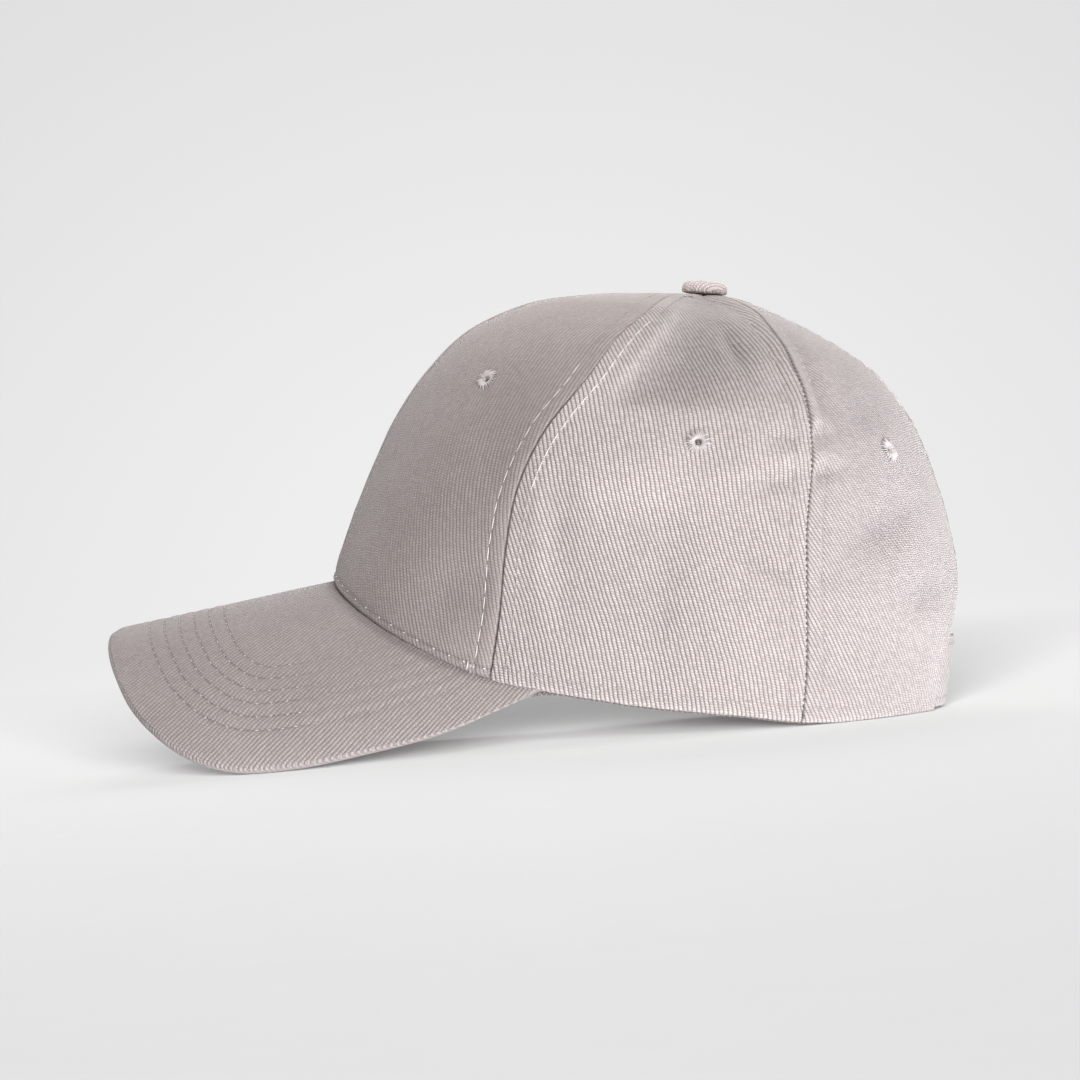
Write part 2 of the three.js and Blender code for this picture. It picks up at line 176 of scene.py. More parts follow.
def from_arch(points):
    """Distance in mm outside the half-moon opening's edge."""
    x, z = points[..., 0] / ARCH_HALF_WIDTH, points[..., 2] / ARCH_HEIGHT
    size = np.maximum(np.hypot(x, z), 1e-6)
    steep = np.hypot(x / ARCH_HALF_WIDTH, z / ARCH_HEIGHT) / size
    return (size - 1) / np.maximum(steep, 1e-6)


def halve(rising, low, high):
    """Where rising functions cross nought, one for each value of low and high."""
    low, high = np.broadcast_arrays(np.asarray(low, float), np.asarray(high, float))
    low, high = low.copy(), high.copy()
    for _ in range(36):
        middle = (low + high) / 2
        below = rising(middle) < 0
        low, high = np.where(below, middle, low), np.where(below, high, middle)
    return (low + high) / 2


def place_at(angle_at, height_at, low=0.0, high=7.0):
    """Place up the sections where the surface reaches a height."""
    def above(place):
        angle = angle_at(place)
        p = crown_point(angle, place)
        return p[..., 2] - height_at(angle, p[..., 0], p[..., 1])
    return halve(above, low, high)


def rear_angle_at(x, height):
    """Angle near the back where the surface, at a height, is so far from the middle."""
    x, height = np.asarray(x, float), np.asarray(height, float)

    def over(angle):
        place = place_at(lambda _: angle, lambda *_: height)
        return x - crown_point(angle, place)[..., 0]
    return halve(over, 120, 180)


print("the crown's top is at", crown_point(0, TOP_SECTION).round(1), "mm")

# %% [markdown]
# ## Camera
#
# The photo looks at the cap's left side with a long lens, from the height of its middle.
# The cap seems turned by about five degrees in the picture, so the camera is rolled by that
# much rather than the cap: the part itself has to stand level on its table.

# %% Camera
CAMERA_DISTANCE = 1.5
CAMERA_HEIGHT = 0.064
FOCAL_LENGTH, SENSOR_WIDTH = 155, 36     # mm
LENS_PLACE = (CAMERA_DISTANCE, CENTRE_Y * MM, CAMERA_HEIGHT)
ROLL = np.radians(4.87)


def add_camera():
    lens = bpy.data.cameras.new("camera")
    lens.lens = FOCAL_LENGTH
    lens.sensor_width = SENSOR_WIDTH
    lens.clip_end = 50
    camera = bpy.data.objects.new("camera", lens)
    scene.collection.objects.link(camera)
    right = Vector((0, np.cos(ROLL), -np.sin(ROLL)))
    up = Vector((0, np.sin(ROLL), np.cos(ROLL)))
    turn = Matrix((right, up, right.cross(up))).transposed()
    camera.matrix_world = Matrix.Translation(LENS_PLACE) @ turn.to_4x4()
    scene.camera = camera
    print("camera at", [round(c, 3) for c in LENS_PLACE])


add_camera()

# %% [markdown]
# ## Small helpers for materials
#
# A procedural material is a chain of nodes. Two short helpers keep the chains readable:
# one adds a node and fills its sockets, one does a sum on sockets or numbers.

# %% Node helpers
def add_node(tree, kind, sockets=None, **settings):
    """A new node with its settings and sockets; a socket's value is a number or a link."""
    node = tree.nodes.new("ShaderNode" + kind)
    for name, value in settings.items():
        setattr(node, name, value)
    for name, value in (sockets or {}).items():
        if isinstance(value, bpy.types.NodeSocket):
            tree.links.new(value, node.inputs[name])
        else:
            node.inputs[name].default_value = value
    return node


def sum_of(tree, operation, *values):
    """A Math node on numbers or links."""
    node = add_node(tree, "Math", dict(enumerate(values)), operation=operation)
    return node.outputs[0]


def blend_colour(tree, part, first, second, kind="MIX"):
    """A mix of two colours, each a tuple or a link."""
    node = tree.nodes.new("ShaderNodeMix")
    node.data_type, node.blend_type = "RGBA", kind
    sockets = [s for s in node.inputs if s.enabled]
    for socket, value in zip(sockets, (part, first, second)):
        if isinstance(value, bpy.types.NodeSocket):
            tree.links.new(value, socket)
        else:
            socket.default_value = value if np.isscalar(value) else (*value, 1)[:4]
    return next(s for s in node.outputs if s.enabled)


def new_material(name):
    material = bpy.data.materials.new(name)
    material.use_nodes = True
    tree = material.node_tree
    return material, tree, tree.nodes["Principled BSDF"]

# %% [markdown]
# ## Twill
#
# Twill is woven so that its threads make slanting ridges. On this cap they are coarse:
# a ridge each 1.3 mm, each one a row of small beads where a thread comes to the face.
# An image would repeat and blur, so the beads are worked out from the cloth's own UV map,
# which holds the place on the cut piece and is turned to its grain. One unit is 100 mm.
# Ridges get a bump and a lighter colour, hollows a darker one: the darker hollows are
# painted shade between the ridges. Slow noises vary both.

# %% Twill material
RIDGE_PITCH = 1.30         # mm from ridge to ridge
BEAD_LENGTH = 0.86
RIDGE_STAGGER = 0.38       # of a bead, from one ridge to the next
RIDGE_POWER, BEAD_POWER = 2.2, 2.4       # the higher, the flatter their tops
BEAD_SHARE = 0.62          # part of a ridge's height that dips between two beads
# BEAD_CHANCE varies the beads at random, and its brightest beads are painted glints
BEAD_CHANCE = 0.50         # how much one bead may stand out more than another
DARKEST_PAINTED_SHADE, PALEST_TINT = 0.32, 1.22   # tint at the darkest painted shade, in the deepest grooves, and at the palest, on painted-lit tops and bulges and paler edges

# The peak's rows of stitches: distance of the first from the edge, pitch in mm, number
FIRST_PEAK_ROW, PEAK_ROW_PITCH, PEAK_ROWS = 13.5, 4.82, 6


def peak_rows(tree):
    """One along the thin grooves of the peak's rows of stitches, nought elsewhere."""
    edge = add_node(tree, "Attribute", attribute_name="from_edge").outputs["Fac"]
    number = sum_of(tree, "DIVIDE", sum_of(tree, "SUBTRACT", edge, FIRST_PEAK_ROW), PEAK_ROW_PITCH)
    whole = sum_of(tree, "ROUND", number)
    off = sum_of(tree, "ABSOLUTE", sum_of(tree, "SUBTRACT", number, whole))
    off = sum_of(tree, "MULTIPLY", off, PEAK_ROW_PITCH)
    line = add_node(tree, "MapRange", {"Value": off, "From Min": 0.12, "From Max": 0.5,
                                       "To Min": 1.0, "To Max": 0.0}).outputs[0]
    low = sum_of(tree, "GREATER_THAN", whole, -0.5)
    high = sum_of(tree, "LESS_THAN", whole, PEAK_ROWS - 0.5)
    shown = add_node(tree, "Attribute", attribute_name="rows_shown").outputs["Fac"]
    line = sum_of(tree, "MULTIPLY", line, shown)
    return sum_of(tree, "MULTIPLY", line, sum_of(tree, "MULTIPLY", low, high))


def twill_material(name, light, dark, sheen, relief=0.0006, with_rows=False):
    material, tree, shader = new_material(name)
    uv = add_node(tree, "UVMap", uv_map="cloth").outputs["UV"]
    place = add_node(tree, "VectorMath", {0: uv, "Scale": 100.0}, operation="SCALE").outputs[0]
    waver = add_node(tree, "TexNoise", {"Vector": place, "Scale": 0.10, "Detail": 2.0})
    waver = sum_of(tree, "SUBTRACT", waver.outputs[0], 0.5)
    axes = add_node(tree, "SeparateXYZ", {0: place}).outputs
    uneven = add_node(tree, "TexNoise", {"Vector": place, "Scale": 0.8, "Detail": 1.0})
    waver = sum_of(tree, "MULTIPLY_ADD", uneven.outputs[0], 0.25, waver)
    across = sum_of(tree, "DIVIDE", sum_of(tree, "ADD", axes[0], waver), RIDGE_PITCH)
    ridge_number = sum_of(tree, "FLOOR", across)
    along = sum_of(tree, "DIVIDE", axes[1], BEAD_LENGTH)
    shift = add_node(tree, "TexWhiteNoise", {"W": ridge_number}, noise_dimensions="1D")
    along = sum_of(tree, "ADD", shift.outputs["Value"], along)
    along = sum_of(tree, "MULTIPLY_ADD", ridge_number, RIDGE_STAGGER, along)

    def hump(value, power):
        phase = sum_of(tree, "FRACT", value)
        off = sum_of(tree, "ABSOLUTE", sum_of(tree, "MULTIPLY_ADD", phase, 2.0, -1.0))
        return sum_of(tree, "SUBTRACT", 1.0, sum_of(tree, "POWER", off, power))

    ridge = hump(across, RIDGE_POWER)
    bead = sum_of(tree, "MULTIPLY_ADD", hump(along, BEAD_POWER), BEAD_SHARE, 1 - BEAD_SHARE)
    weave = sum_of(tree, "MULTIPLY", ridge, bead)
    bead_number = sum_of(tree, "FLOOR", along)
    bead_cell = add_node(tree, "CombineXYZ", {0: ridge_number, 1: bead_number}).outputs[0]
    chance = add_node(tree, "TexWhiteNoise", {"Vector": bead_cell}).outputs["Value"]
    chance = sum_of(tree, "MULTIPLY_ADD", chance, BEAD_CHANCE, 0.74)
    weave = sum_of(tree, "MULTIPLY", weave, chance)
    fibre = add_node(tree, "TexNoise", {"Vector": place, "Scale": 2.6, "Detail": 3.0})
    height = sum_of(tree, "MULTIPLY_ADD", fibre.outputs[0], 0.35, weave)
    if with_rows:
        rows = peak_rows(tree)
        height = sum_of(tree, "MULTIPLY_ADD", rows, -0.8, height)
    bump = add_node(tree, "Bump", {"Strength": 0.9, "Distance": relief, "Height": height})

    tint = blend_colour(tree, sum_of(tree, "POWER", weave, 0.8), dark, light)
    streak = add_node(tree, "Mapping", {"Vector": place, "Scale": (1.3, 0.18, 1.0)}).outputs[0]
    yarn = add_node(tree, "TexNoise", {"Vector": streak, "Scale": 0.9, "Detail": 2.0})
    yarn = add_node(tree, "MapRange", {"Value": yarn.outputs[0], "From Min": 0.3,
                                       "From Max": 0.7, "To Min": 0.94, "To Max": 1.05})
    tint = blend_colour(tree, 1.0, tint, yarn.outputs[0], "MULTIPLY")
    cloud = add_node(tree, "TexNoise", {"Vector": place, "Scale": 0.035, "Detail": 3.0})
    cloud = add_node(tree, "MapRange", {"Value": cloud.outputs[0], "From Min": 0.3,
                                        "From Max": 0.7, "To Min": 0.96, "To Max": 1.03})
    tint = blend_colour(tree, 1.0, tint, cloud.outputs[0], "MULTIPLY")
    shade_tint = add_node(tree, "Attribute", attribute_name="wear").outputs["Fac"]
    shade_tint = add_node(tree, "MapRange", {"Value": shade_tint, "From Min": -2.0, "From Max": 1.0,
                                       "To Min": DARKEST_PAINTED_SHADE, "To Max": PALEST_TINT})
    tint = blend_colour(tree, 1.0, tint, shade_tint.outputs[0], "MULTIPLY")
    if with_rows:
        shade = sum_of(tree, "MULTIPLY_ADD", rows, -0.24, 1.0)
        tint = blend_colour(tree, 1.0, tint, shade, "MULTIPLY")
    rough = sum_of(tree, "MULTIPLY_ADD", fibre.outputs[0], 0.16, 0.82)

    tree.links.new(tint, shader.inputs["Base Color"])
    tree.links.new(rough, shader.inputs["Roughness"])
    tree.links.new(bump.outputs[0], shader.inputs["Normal"])
    shader.inputs["Specular IOR Level"].default_value = 0.18
    shader.inputs["Sheen Weight"].default_value = sheen
    shader.inputs["Sheen Roughness"].default_value = 0.4
    return material


# The light and dark of the weave. The panels and the peak each have their own, as each lies
# at its own slant to the studio's lamps and the photo shows more contrast than those give.
# These colours are painted light and shade: one cloth in lit and shaded copies, darker on the
# front panels and the peak, a little darker on the rear panels than on the side panels and strap,
# and paler on the button.
SHEEN = 0.45
TWILL_LIGHT = (0.666, 0.588, 0.571)
TWILL_DARK = (0.205, 0.180, 0.174)
REAR_LIGHT = (0.600, 0.530, 0.516)
REAR_DARK = (0.180, 0.158, 0.153)
FRONT_LIGHT = (0.407, 0.354, 0.342)
FRONT_DARK = (0.230, 0.200, 0.193)
PEAK_LIGHT = (0.444, 0.391, 0.380)
PEAK_DARK = (0.236, 0.207, 0.201)
BUTTON_LIGHT = (0.80, 0.705, 0.685)
BUTTON_DARK = (0.40, 0.352, 0.342)
# The sweatband's cloth is darker, in part its own colour and in part painted shade for the dark
# line under the rim.
BAND_LIGHT = (0.33, 0.29, 0.28)
BAND_DARK = (0.17, 0.15, 0.14)
TWILL = twill_material("twill_warm_grey", TWILL_LIGHT, TWILL_DARK, SHEEN)
REAR_TWILL = twill_material("rear_twill", REAR_LIGHT, REAR_DARK, SHEEN, 0.0004)
FRONT_TWILL = twill_material("front_twill", FRONT_LIGHT, FRONT_DARK, 0.3, 0.00022)
BUTTON_TWILL = twill_material("button_twill", BUTTON_LIGHT, BUTTON_DARK, SHEEN, 0.0004)
PEAK_TWILL = twill_material("peak_twill", PEAK_LIGHT, PEAK_DARK, 0.25, 0.0003, with_rows=True)
BAND_CLOTH = twill_material("sweatband_cloth", BAND_LIGHT, BAND_DARK, 0.1)
print("materials:", TWILL.name, BAND_CLOTH.name)

# %% [markdown]
# ## Thread
#
# The sewing thread is cotton, twisted from three plies. It is a shade paler than the cloth
# where it lies on top; where it lies in a dip it is painted darker, as painted shade. Its
# twist is finer than a pixel, so a soft wave and a little noise are enough.

# %% Thread material
def thread_material(name, light, dark, roughness):
    material, tree, shader = new_material(name)
    place = add_node(tree, "TexCoord").outputs["Object"]
    twist = add_node(tree, "TexWave", {"Vector": place, "Scale": 900.0, "Distortion": 2.0,
                                       "Detail": 1.0}, bands_direction="DIAGONAL")
    patch = add_node(tree, "TexNoise", {"Vector": place, "Scale": 120.0, "Detail": 2.0})
    part = sum_of(tree, "MULTIPLY_ADD", twist.outputs["Fac"], 0.5,
                  sum_of(tree, "MULTIPLY", patch.outputs[0], 0.6))
    bump = add_node(tree, "Bump", {"Strength": 0.5, "Distance": 0.0001,
                                   "Height": twist.outputs["Fac"]})
    tree.links.new(blend_colour(tree, part, dark, light), shader.inputs["Base Color"])
    tree.links.new(bump.outputs[0], shader.inputs["Normal"])
    shader.inputs["Roughness"].default_value = roughness
    shader.inputs["Sheen Weight"].default_value = 0.15
    return material


THREAD = thread_material("sewing_thread", (0.88, 0.825, 0.81), (0.64, 0.585, 0.57), 0.6)
PEAK_THREAD = thread_material("peak_thread", (0.72, 0.655, 0.64), (0.50, 0.45, 0.44), 0.7)
# THREAD_IN_PAINTED_SHADE is thread painted darker than the cloth, as painted shade on stitches in
# their dips
THREAD_IN_PAINTED_SHADE = thread_material("hem_thread", (0.44, 0.39, 0.38), (0.27, 0.24, 0.23), 0.75)
EYELET_THREAD = thread_material("eyelet_thread", (0.74, 0.69, 0.68), (0.42, 0.38, 0.37), 0.4)
print("materials:", THREAD.name, EYELET_THREAD.name)

# %% [markdown]
# ## From a lattice to a piece of cloth
#
# Each cut piece starts as a flat grid, which the grid operator makes with all its faces.
# Its vertices are then laid on the form, like cloth on a block. Each one also gets its
# place on the flat cut, for the weave, and a tint value: painted shade below nought,
# painted light and paler edges above.

# %% Cloth helpers
def write_piece(name, bm, material):
    """Makes an object of a bmesh, shaded smooth, riding on the cap's one body."""
    mesh = bpy.data.meshes.new(name)
    bm.to_mesh(mesh)
    bm.free()
    mesh.polygons.foreach_set("use_smooth", [True] * len(mesh.polygons))
    mesh.materials.append(material)
    piece = bpy.data.objects.new(name, mesh)
    scene.collection.objects.link(piece)
    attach(piece, "root")
    return piece


def laid_grid(points, cut, wear, **more):
    """A bmesh grid laid on a lattice of points in mm, with its map, its painted shade and
    tint, and other values.
    """
    rows, columns = points.shape[0] - 1, points.shape[1] - 1
    bm = bmesh.new()
    bmesh.ops.create_grid(bm, x_segments=columns, y_segments=rows, size=0.5)
    cloth_map = bm.loops.layers.uv.new("cloth")
    layers = {name: bm.verts.layers.float.new(name) for name in ("wear", *more)}
    values = {"wear": wear, **more}
    spot = {}
    for v in bm.verts:
        c, r = round((v.co.x + 0.5) * columns), round((v.co.y + 0.5) * rows)
        spot[v.index] = (r, c)
        v.co = Vector(points[r, c]) * MM
        for name, layer in layers.items():
            v[layer] = values[name][r, c]
    for face in bm.faces:
        for loop in face.loops:
            loop[cloth_map].uv = cut[spot[loop.vert.index]] / 100
    return bm


def soft_noise(points, size, seed):
    """Smooth noise from -1 to 1 at points in mm, with features of about that size."""
    shift = Vector((17.3 * seed, -9.1 * seed, 5.7 * seed))
    flat = points.reshape(-1, 3) / size
    values = [noise.noise(Vector(p) + shift) for p in flat]
    return np.array(values).reshape(points.shape[:-1])


def hollow(distance, at, width):
    """A smooth dip or hump of height one."""
    return np.exp(-((distance - at) / width) ** 2)


def step(value, low, high):
    """Goes smoothly from 0 to 1 between low and high."""
    t = np.clip((value - low) / (high - low), 0, 1)
    return t * t * (3 - 2 * t)


def turned(cut, degrees):
    """Places on the flat cut, turned to the cloth's grain."""
    c, s = np.cos(np.radians(degrees)), np.sin(np.radians(degrees))
    return np.stack([cut[..., 0] * c + cut[..., 1] * s, cut[..., 1] * c - cut[..., 0] * s], -1)


PANEL_RISE = 190      # mm from the rim to the button, over the cloth


def blocked_grain(aside, rise, at_rim, at_top):
    """Places on a panel whose grain was pulled from one angle at the rim to another on top."""
    low, high = np.tan(np.radians([at_rim, at_top]))
    lean = low * rise + (high - low) * rise ** 2 / (2 * PANEL_RISE)
    steep = np.cos(np.radians((at_rim + at_top) / 2))
    return np.stack([(aside + lean) * steep, rise / steep], -1)

# %% [markdown]
# ## One panel of the crown
#
# Two panels meet in a seam: their edges turn inwards, the turned cloth is pressed open
# behind them and sewn down by a row of stitches 5.5 mm away on each side. So from the seam
# outwards there is a groove, a slightly raised welt, the dip of the stitches and then plain
# cloth with small puckers. A displacement map could do it, but the outline would stay
# smooth, so the relief is real. It needs close columns near the seam and few elsewhere.

# %% The relief of seams and hems
STITCH_FROM_SEAM = 5.5
HEM_HEIGHT = 4.6
NEAR_EDGE = [0, 0.2, 0.45, 0.75, 1.1, 1.5, 2.0, 2.6, 3.3, 4.0, 4.5, 4.85, 5.1, 5.3, 5.5, 5.7,
             5.9, 6.15, 6.6, 7.3, 8.4]


def crowded(length, middle_cells, both_ends=True):
    """Fractions of a length, close together near its edges."""
    near = np.array(NEAR_EDGE) / length
    end = 1 - near[-1] if both_ends else 1
    middle = np.linspace(near[-1], end, middle_cells + 1)[1:]
    return np.concatenate([near, middle, 1 - near[::-1][1:]] if both_ends else [near, middle])


def seam_relief(distance, along, seed, depth):
    """Height of the cloth beside a seam, in mm, by the distance from it and along it."""
    flat = np.stack([distance, along, np.full_like(distance, 40.0 * seed)], -1)
    pucker = soft_noise(flat / np.array([2.2, 1, 1]), 5.5, seed)
    fold = -(0.95 + 0.35 * pucker) * depth * hollow(distance, 0, 0.32)
    welt = 0.10 * step(distance, 0.8, 2.6) * (1 - step(distance, 4.4, 5.8))
    dip = -(0.17 + 0.14 * pucker) * hollow(distance, STITCH_FROM_SEAM, 0.55)
    gather = 0.36 * pucker * hollow(distance, STITCH_FROM_SEAM + 1.5, 4.5)
    return fold + welt + dip + gather


def sum_of_dents(points, dents):
    """Height of the dents and bulges of a table, in mm."""
    total = np.zeros(points.shape[:-1])
    for middle, size, turn, high in dents:
        across = turned(points[..., 1:] - np.array(middle), turn)
        total = total + high * np.exp(-((across / np.array(size)) ** 2).sum(-1))
    return total


def hollow_wedge(points):
    """The side panel is sunk behind two creases that meet in a corner below the button."""
    off = points[..., 1:] - np.array(WEDGE_CORNER)
    inside = np.stack([off @ np.array(across) for across in WEDGE_SIDES])
    depth = np.maximum(-2.0 * np.log(np.exp(-inside / 2.0).sum(0)), 0)
    fade = 1 - 0.7 * step(points[..., 1], 48, 76)
    return -(2.6 * (1 - np.exp(-depth / 5.0)) + 0.05 * np.minimum(depth, 24)) * fade


TABLE_ROWS, TABLE_COLUMNS = 201, 61     # of the tables that each panel keeps of its own form
# The front panels' lower edge runs aslant, so the distance from it is less than the rise
FRONT_SLANT = 0.93


class CrownPanel:
    """One cut of the crown, between two seams, with the grain its cloth was cut to."""

    def __init__(self, word, seams, grain, side):
        self.name = f"panel_{word}_{'left' if side > 0 else 'right'}"
        self.word, self.seams, self.grain, self.side = word, seams, grain, side
        self.seed = 1 + ["front", "side", "rear"].index(word) + (3 if side < 0 else 0)
        self.fractions = np.linspace(0, 1, TABLE_COLUMNS)
        self.places = np.linspace(0, TOP_SECTION - 1e-4, TABLE_ROWS)
        f, p = np.meshgrid(self.fractions, self.places)
        points = crown_point(self.angle(f, p), p)
        lengths = np.linalg.norm(np.diff(points, axis=1), axis=2)
        self.widths = np.hstack([np.zeros((len(p), 1)), np.cumsum(lengths, 1)])
        rises = np.linalg.norm(np.diff(points[:, TABLE_COLUMNS // 2], axis=0), axis=1)
        self.rises = np.concatenate([[0], np.cumsum(rises)])
        self.low = place_at(lambda q: self.angle(self.fractions, q), self.edge_height)

    def seam_angle(self, seam, place):
        if seam in ("front", "back"):
            return np.where(seam == "front", 0.0, 180.0) + 0 * place
        return curve_through(CROWN_SECTIONS, place)[..., 6 if seam == "seam1" else 7]

    def angle(self, fraction, place):
        """Angle round the crown, a fraction of the way between the seams."""
        first, last = (self.seam_angle(seam, place) for seam in self.seams)
        return first + (last - first) * fraction

    def edge_height(self, angle, x, y):
        height = rim_height(angle, x, y)
        return np.maximum(height, arch_height(x)) if self.word == "rear" else height

    def look_up(self, table, fraction, place):
        """A value between the rows and columns of one of the panel's own tables."""
        r = np.clip(place / self.places[-1], 0, 1) * (TABLE_ROWS - 1)
        c = np.clip(fraction, 0, 1) * (TABLE_COLUMNS - 1)
        r0 = np.minimum(r.astype(int), TABLE_ROWS - 2)
        c0 = np.minimum(c.astype(int), TABLE_COLUMNS - 2)
        dr, dc = r - r0, c - c0
        low = table[r0, c0] * (1 - dc) + table[r0, c0 + 1] * dc
        high = table[r0 + 1, c0] * (1 - dc) + table[r0 + 1, c0 + 1] * dc
        return low * (1 - dr) + high * dr

    def distances(self, fraction, place):
        """Distances from the first seam, the last seam and the lower edge, and the rise."""
        one = np.ones_like(fraction)
        first = self.look_up(self.widths, fraction, place)
        last = self.look_up(self.widths, one, place) - first
        rise = np.interp(place, self.places, self.rises)
        low = np.interp(fraction, self.fractions, self.low)
        slant = FRONT_SLANT if self.word == "front" else 1.0
        rim = (rise - np.interp(low, self.places, self.rises)) * slant
        return first, last, rim, rise

    def flat_cut(self, fraction, place):
        """Places on the flat cut, in mm, turned to the grain."""
        first, last, _, rise = self.distances(fraction, place)
        cut = blocked_grain((first - last) / 2, rise, *self.grain)
        return cut * np.array([self.side, 1]) + 300.0 * self.seed

    def relief(self, points, fraction, place):
        """Height of the cloth over the smooth crown, in mm."""
        first, last, rim, rise = self.distances(fraction, place)
        room = step(first + last, 2, 16)
        seams = (seam_relief(first, rise, 11 + self.seed, self.seam_depth(True, rise))
                 + seam_relief(last, rise, 23 + self.seed, self.seam_depth(False, rise)))
        rim = self.from_edge(points, rim)
        crease, sharp, tuck = (2.9, 0.45, 1.1) if self.word == "front" else (HEM_HEIGHT, 0.7, 0.7)
        hem = -tuck * hollow(rim, 0, 0.6) - 0.3 * hollow(rim, crease, sharp)
        plain = step(np.minimum(first, last), 5, 18)
        eyelet = np.linalg.norm(points - self.eyelet_spot(), axis=-1)
        calm = step(eyelet, 4, 16)
        dents = 0.55 * soft_noise(points, 34, 2) + 0.22 * soft_noise(points, 13, 5)
        folds = self.folds(points, first, last)
        crest_from = {"front": last, "side": first, "rear": 1e3 + 0 * first}[self.word]
        crest = CREST * np.exp(-crest_from / 16) * step(place, 0.8, 2.5) * (1 - step(place, 5, 8))
        high = (room * (seams + hem) + plain * calm * dents + calm * folds + crest
                - 0.25 * hollow(eyelet, 3.9, 1.4))
        held = DEEPEST + 0.15 * np.logaddexp(0, (high - DEEPEST) / 0.15)
        return high + (held - high) * (1 - step(rim, 31, 37)) * step(rim, 2, 5)

    def folds(self, points, first, last):
        """Height of the dents, bulges and gathers that this panel got by wearing, in mm."""
        folds = sum_of_dents(points, DENTS[self.word])
        if self.word == "side":
            folds = folds + hollow_wedge(points)
        near = np.minimum(first, last)
        gathers = sum_of_dents(points, GATHERS[self.word])
        return folds * step(near, 0.5, 6) + gathers * step(near, 0, 2.0)

    def from_edge(self, points, rim):
        """Distance from the lower edge, on a rear panel also from the opening's edge."""
        return np.minimum(rim, from_arch(points)) if self.word == "rear" else rim

    def seam_depth(self, at_first, rise):
        """One, or less where the seam between front and side panel is pulled flat on top."""
        flat = (self.word, at_first) in (("front", False), ("side", True))
        return 1 - 0.6 * step(rise, 88, 112) * flat

    def groove(self, distance, at_first, rise):
        """The painted shade in a seam's groove; between side and rear panel it is painted wider
        and darker towards the top.
        """
        shade_widens = (self.word, at_first) in (("rear", True), ("side", False))
        top = step(rise, 88, 112) * shade_widens
        dark = self.seam_depth(at_first, rise) + 0.7 * top
        return dark * hollow(distance, 0, (0.52 if shade_widens else 0.34) + 0.33 * top)

    def eyelet_spot(self):
        angle, place = EYELETS[self.word]
        return crown_point(self.side * angle, place)

    def cloth(self, fraction, place, lift=0.0):
        """Points of the finished outer face, in mm."""
        angle = self.side * self.angle(fraction, place)
        smooth = crown_point(angle, place)
        high = self.relief(smooth, fraction, place) + lift
        return smooth + crown_normal(angle, place) * high[..., None]

    def wear(self, fraction, place):
        """Painted shade in the grooves, dips, hollows and creases, painted light on the bulges
        and the front panels' top; paler on the welts beside the seams and along the edges.
        """
        first, last, rim, rise = self.distances(fraction, place)
        near = np.minimum(first, last)
        value = 0.08 * hollow(near, 1.6, 0.9)
        # painted shade in the seams' grooves and in the dips of the stitch rows
        value = value - self.groove(first, True, rise) - self.groove(last, False, rise)
        value = value - 0.12 * hollow(near, STITCH_FROM_SEAM, 0.5)
        points = crown_point(self.side * self.angle(fraction, place), place)
        # painted shade in the hollows and painted light on the bulges of the dents and folds
        value = value + FOLD_SHADE * self.folds(points, first, last)
        if self.word == "front":
            # painted light on the front panels' top, and painted shade where they meet the peak
            # and in the hem's crease
            painted_top_light = 0.9 * step(points[..., 2], 112, 138)
            return value + painted_top_light - 1.0 * hollow(rim, 0, 0.5) - 0.8 * hollow(rim, 2.9, 0.32)
        # paler along the lower edge and the opening's edge
        return value + 0.35 * hollow(self.from_edge(points, rim), 0.6, 0.7)


# Dents and bulges left by wearing, by panel: their middle and half size in mm in the side
# view (along, up), the turn of that ellipse in degrees and how far they stand out
DENTS = {
    "side": [((42, 80), (34, 11), 4, 1.3), ((66.3, 119.5), (7, 2.8), -70, -1.8),
             ((67.5, 49.8), (8, 1.7), -28, -1.3), ((37.5, 45), (22, 5), 80, -0.6),
             ((0, 62), (24, 4), 88, 0.7), ((7, 68), (12, 4), 85, -0.7)],
    "rear": [((86, 44.5), (8, 1.8), -13, -0.9), ((106, 58), (13, 6), 28, -1.7),
             ((119, 37), (7, 5), 30, -1.6), ((88, 107), (14, 2.6), -68, -1.0),
             ((94, 105), (13, 2.6), -66, 0.5), ((100, 94), (15, 11), -50, -1.0)],
    "front": [((-12, 92), (9, 26), -30, -0.8), ((-26, 50), (11, 8), 15, -1.2),
              ((-34, 42), (12, 12), 0, -0.4)],
}
# The same for the small gathers that cross the seam between side and rear panel
GATHERS = {
    "side": [((77, 88.5), (5, 1.7), -5, -1.3), ((77, 82), (5, 1.9), 0, 0.8),
             ((74, 75), (8, 2.3), 0, -1.3)],
    "rear": [((86, 93.9), (6, 1.7), 0, 1.2), ((86, 88.9), (6, 1.8), 2, -2.0),
             ((87, 82), (6, 1.8), 0, 1.2), ((87.5, 76.6), (6, 1.7), 4, -1.7)],
    "front": [],
}
FOLD_SHADE = 0.32     # how much darker, per mm, the cloth is in a hollow than on a bulge
WEDGE_CORNER = (21.8, 103.1)
WEDGE_SIDES = ((0.743, -0.669), (0.093, 0.996))
DEEPEST = -1.7   # the deepest dent, in mm, that the cloth can take in front of the sweatband
CREST = 1.2      # how far the seam between the front and side panels stands out as a crest
# Angle round the crown and place up the sections of each panel's eyelet
EYELETS = {"front": (38, 4.8), "side": (96, 4.1), "rear": (149, 4.4)}
PANEL_PATTERNS = [
    ("front", ("front", "seam1"), (25, 0)),
    ("side", ("seam1", "seam2"), (17, 34)),
    ("rear", ("seam2", "back"), (33, 33)),
]
PANELS = {}
for side in (1, -1):
    for word, seams, grain in PANEL_PATTERNS:
        panel = CrownPanel(word, seams, grain, side)
        PANELS[panel.name] = panel
print("panel widths at the rim, mm:",
      {n: round(float(p.widths[20, -1])) for n, p in PANELS.items() if p.side > 0})

# %% [markdown]
# ## Cutting and laying the panels
#
# The rear panels are cut away round the half-moon opening, so their columns follow the arch.
# The hole for the eyelet is cut by deleting a few faces and pulling the border to a circle.
# Solidify then gives the cloth its thickness, inwards, once the face is right.

# %% Panels
EYELET_CUT = 2.4
ARCH_CELLS = 34


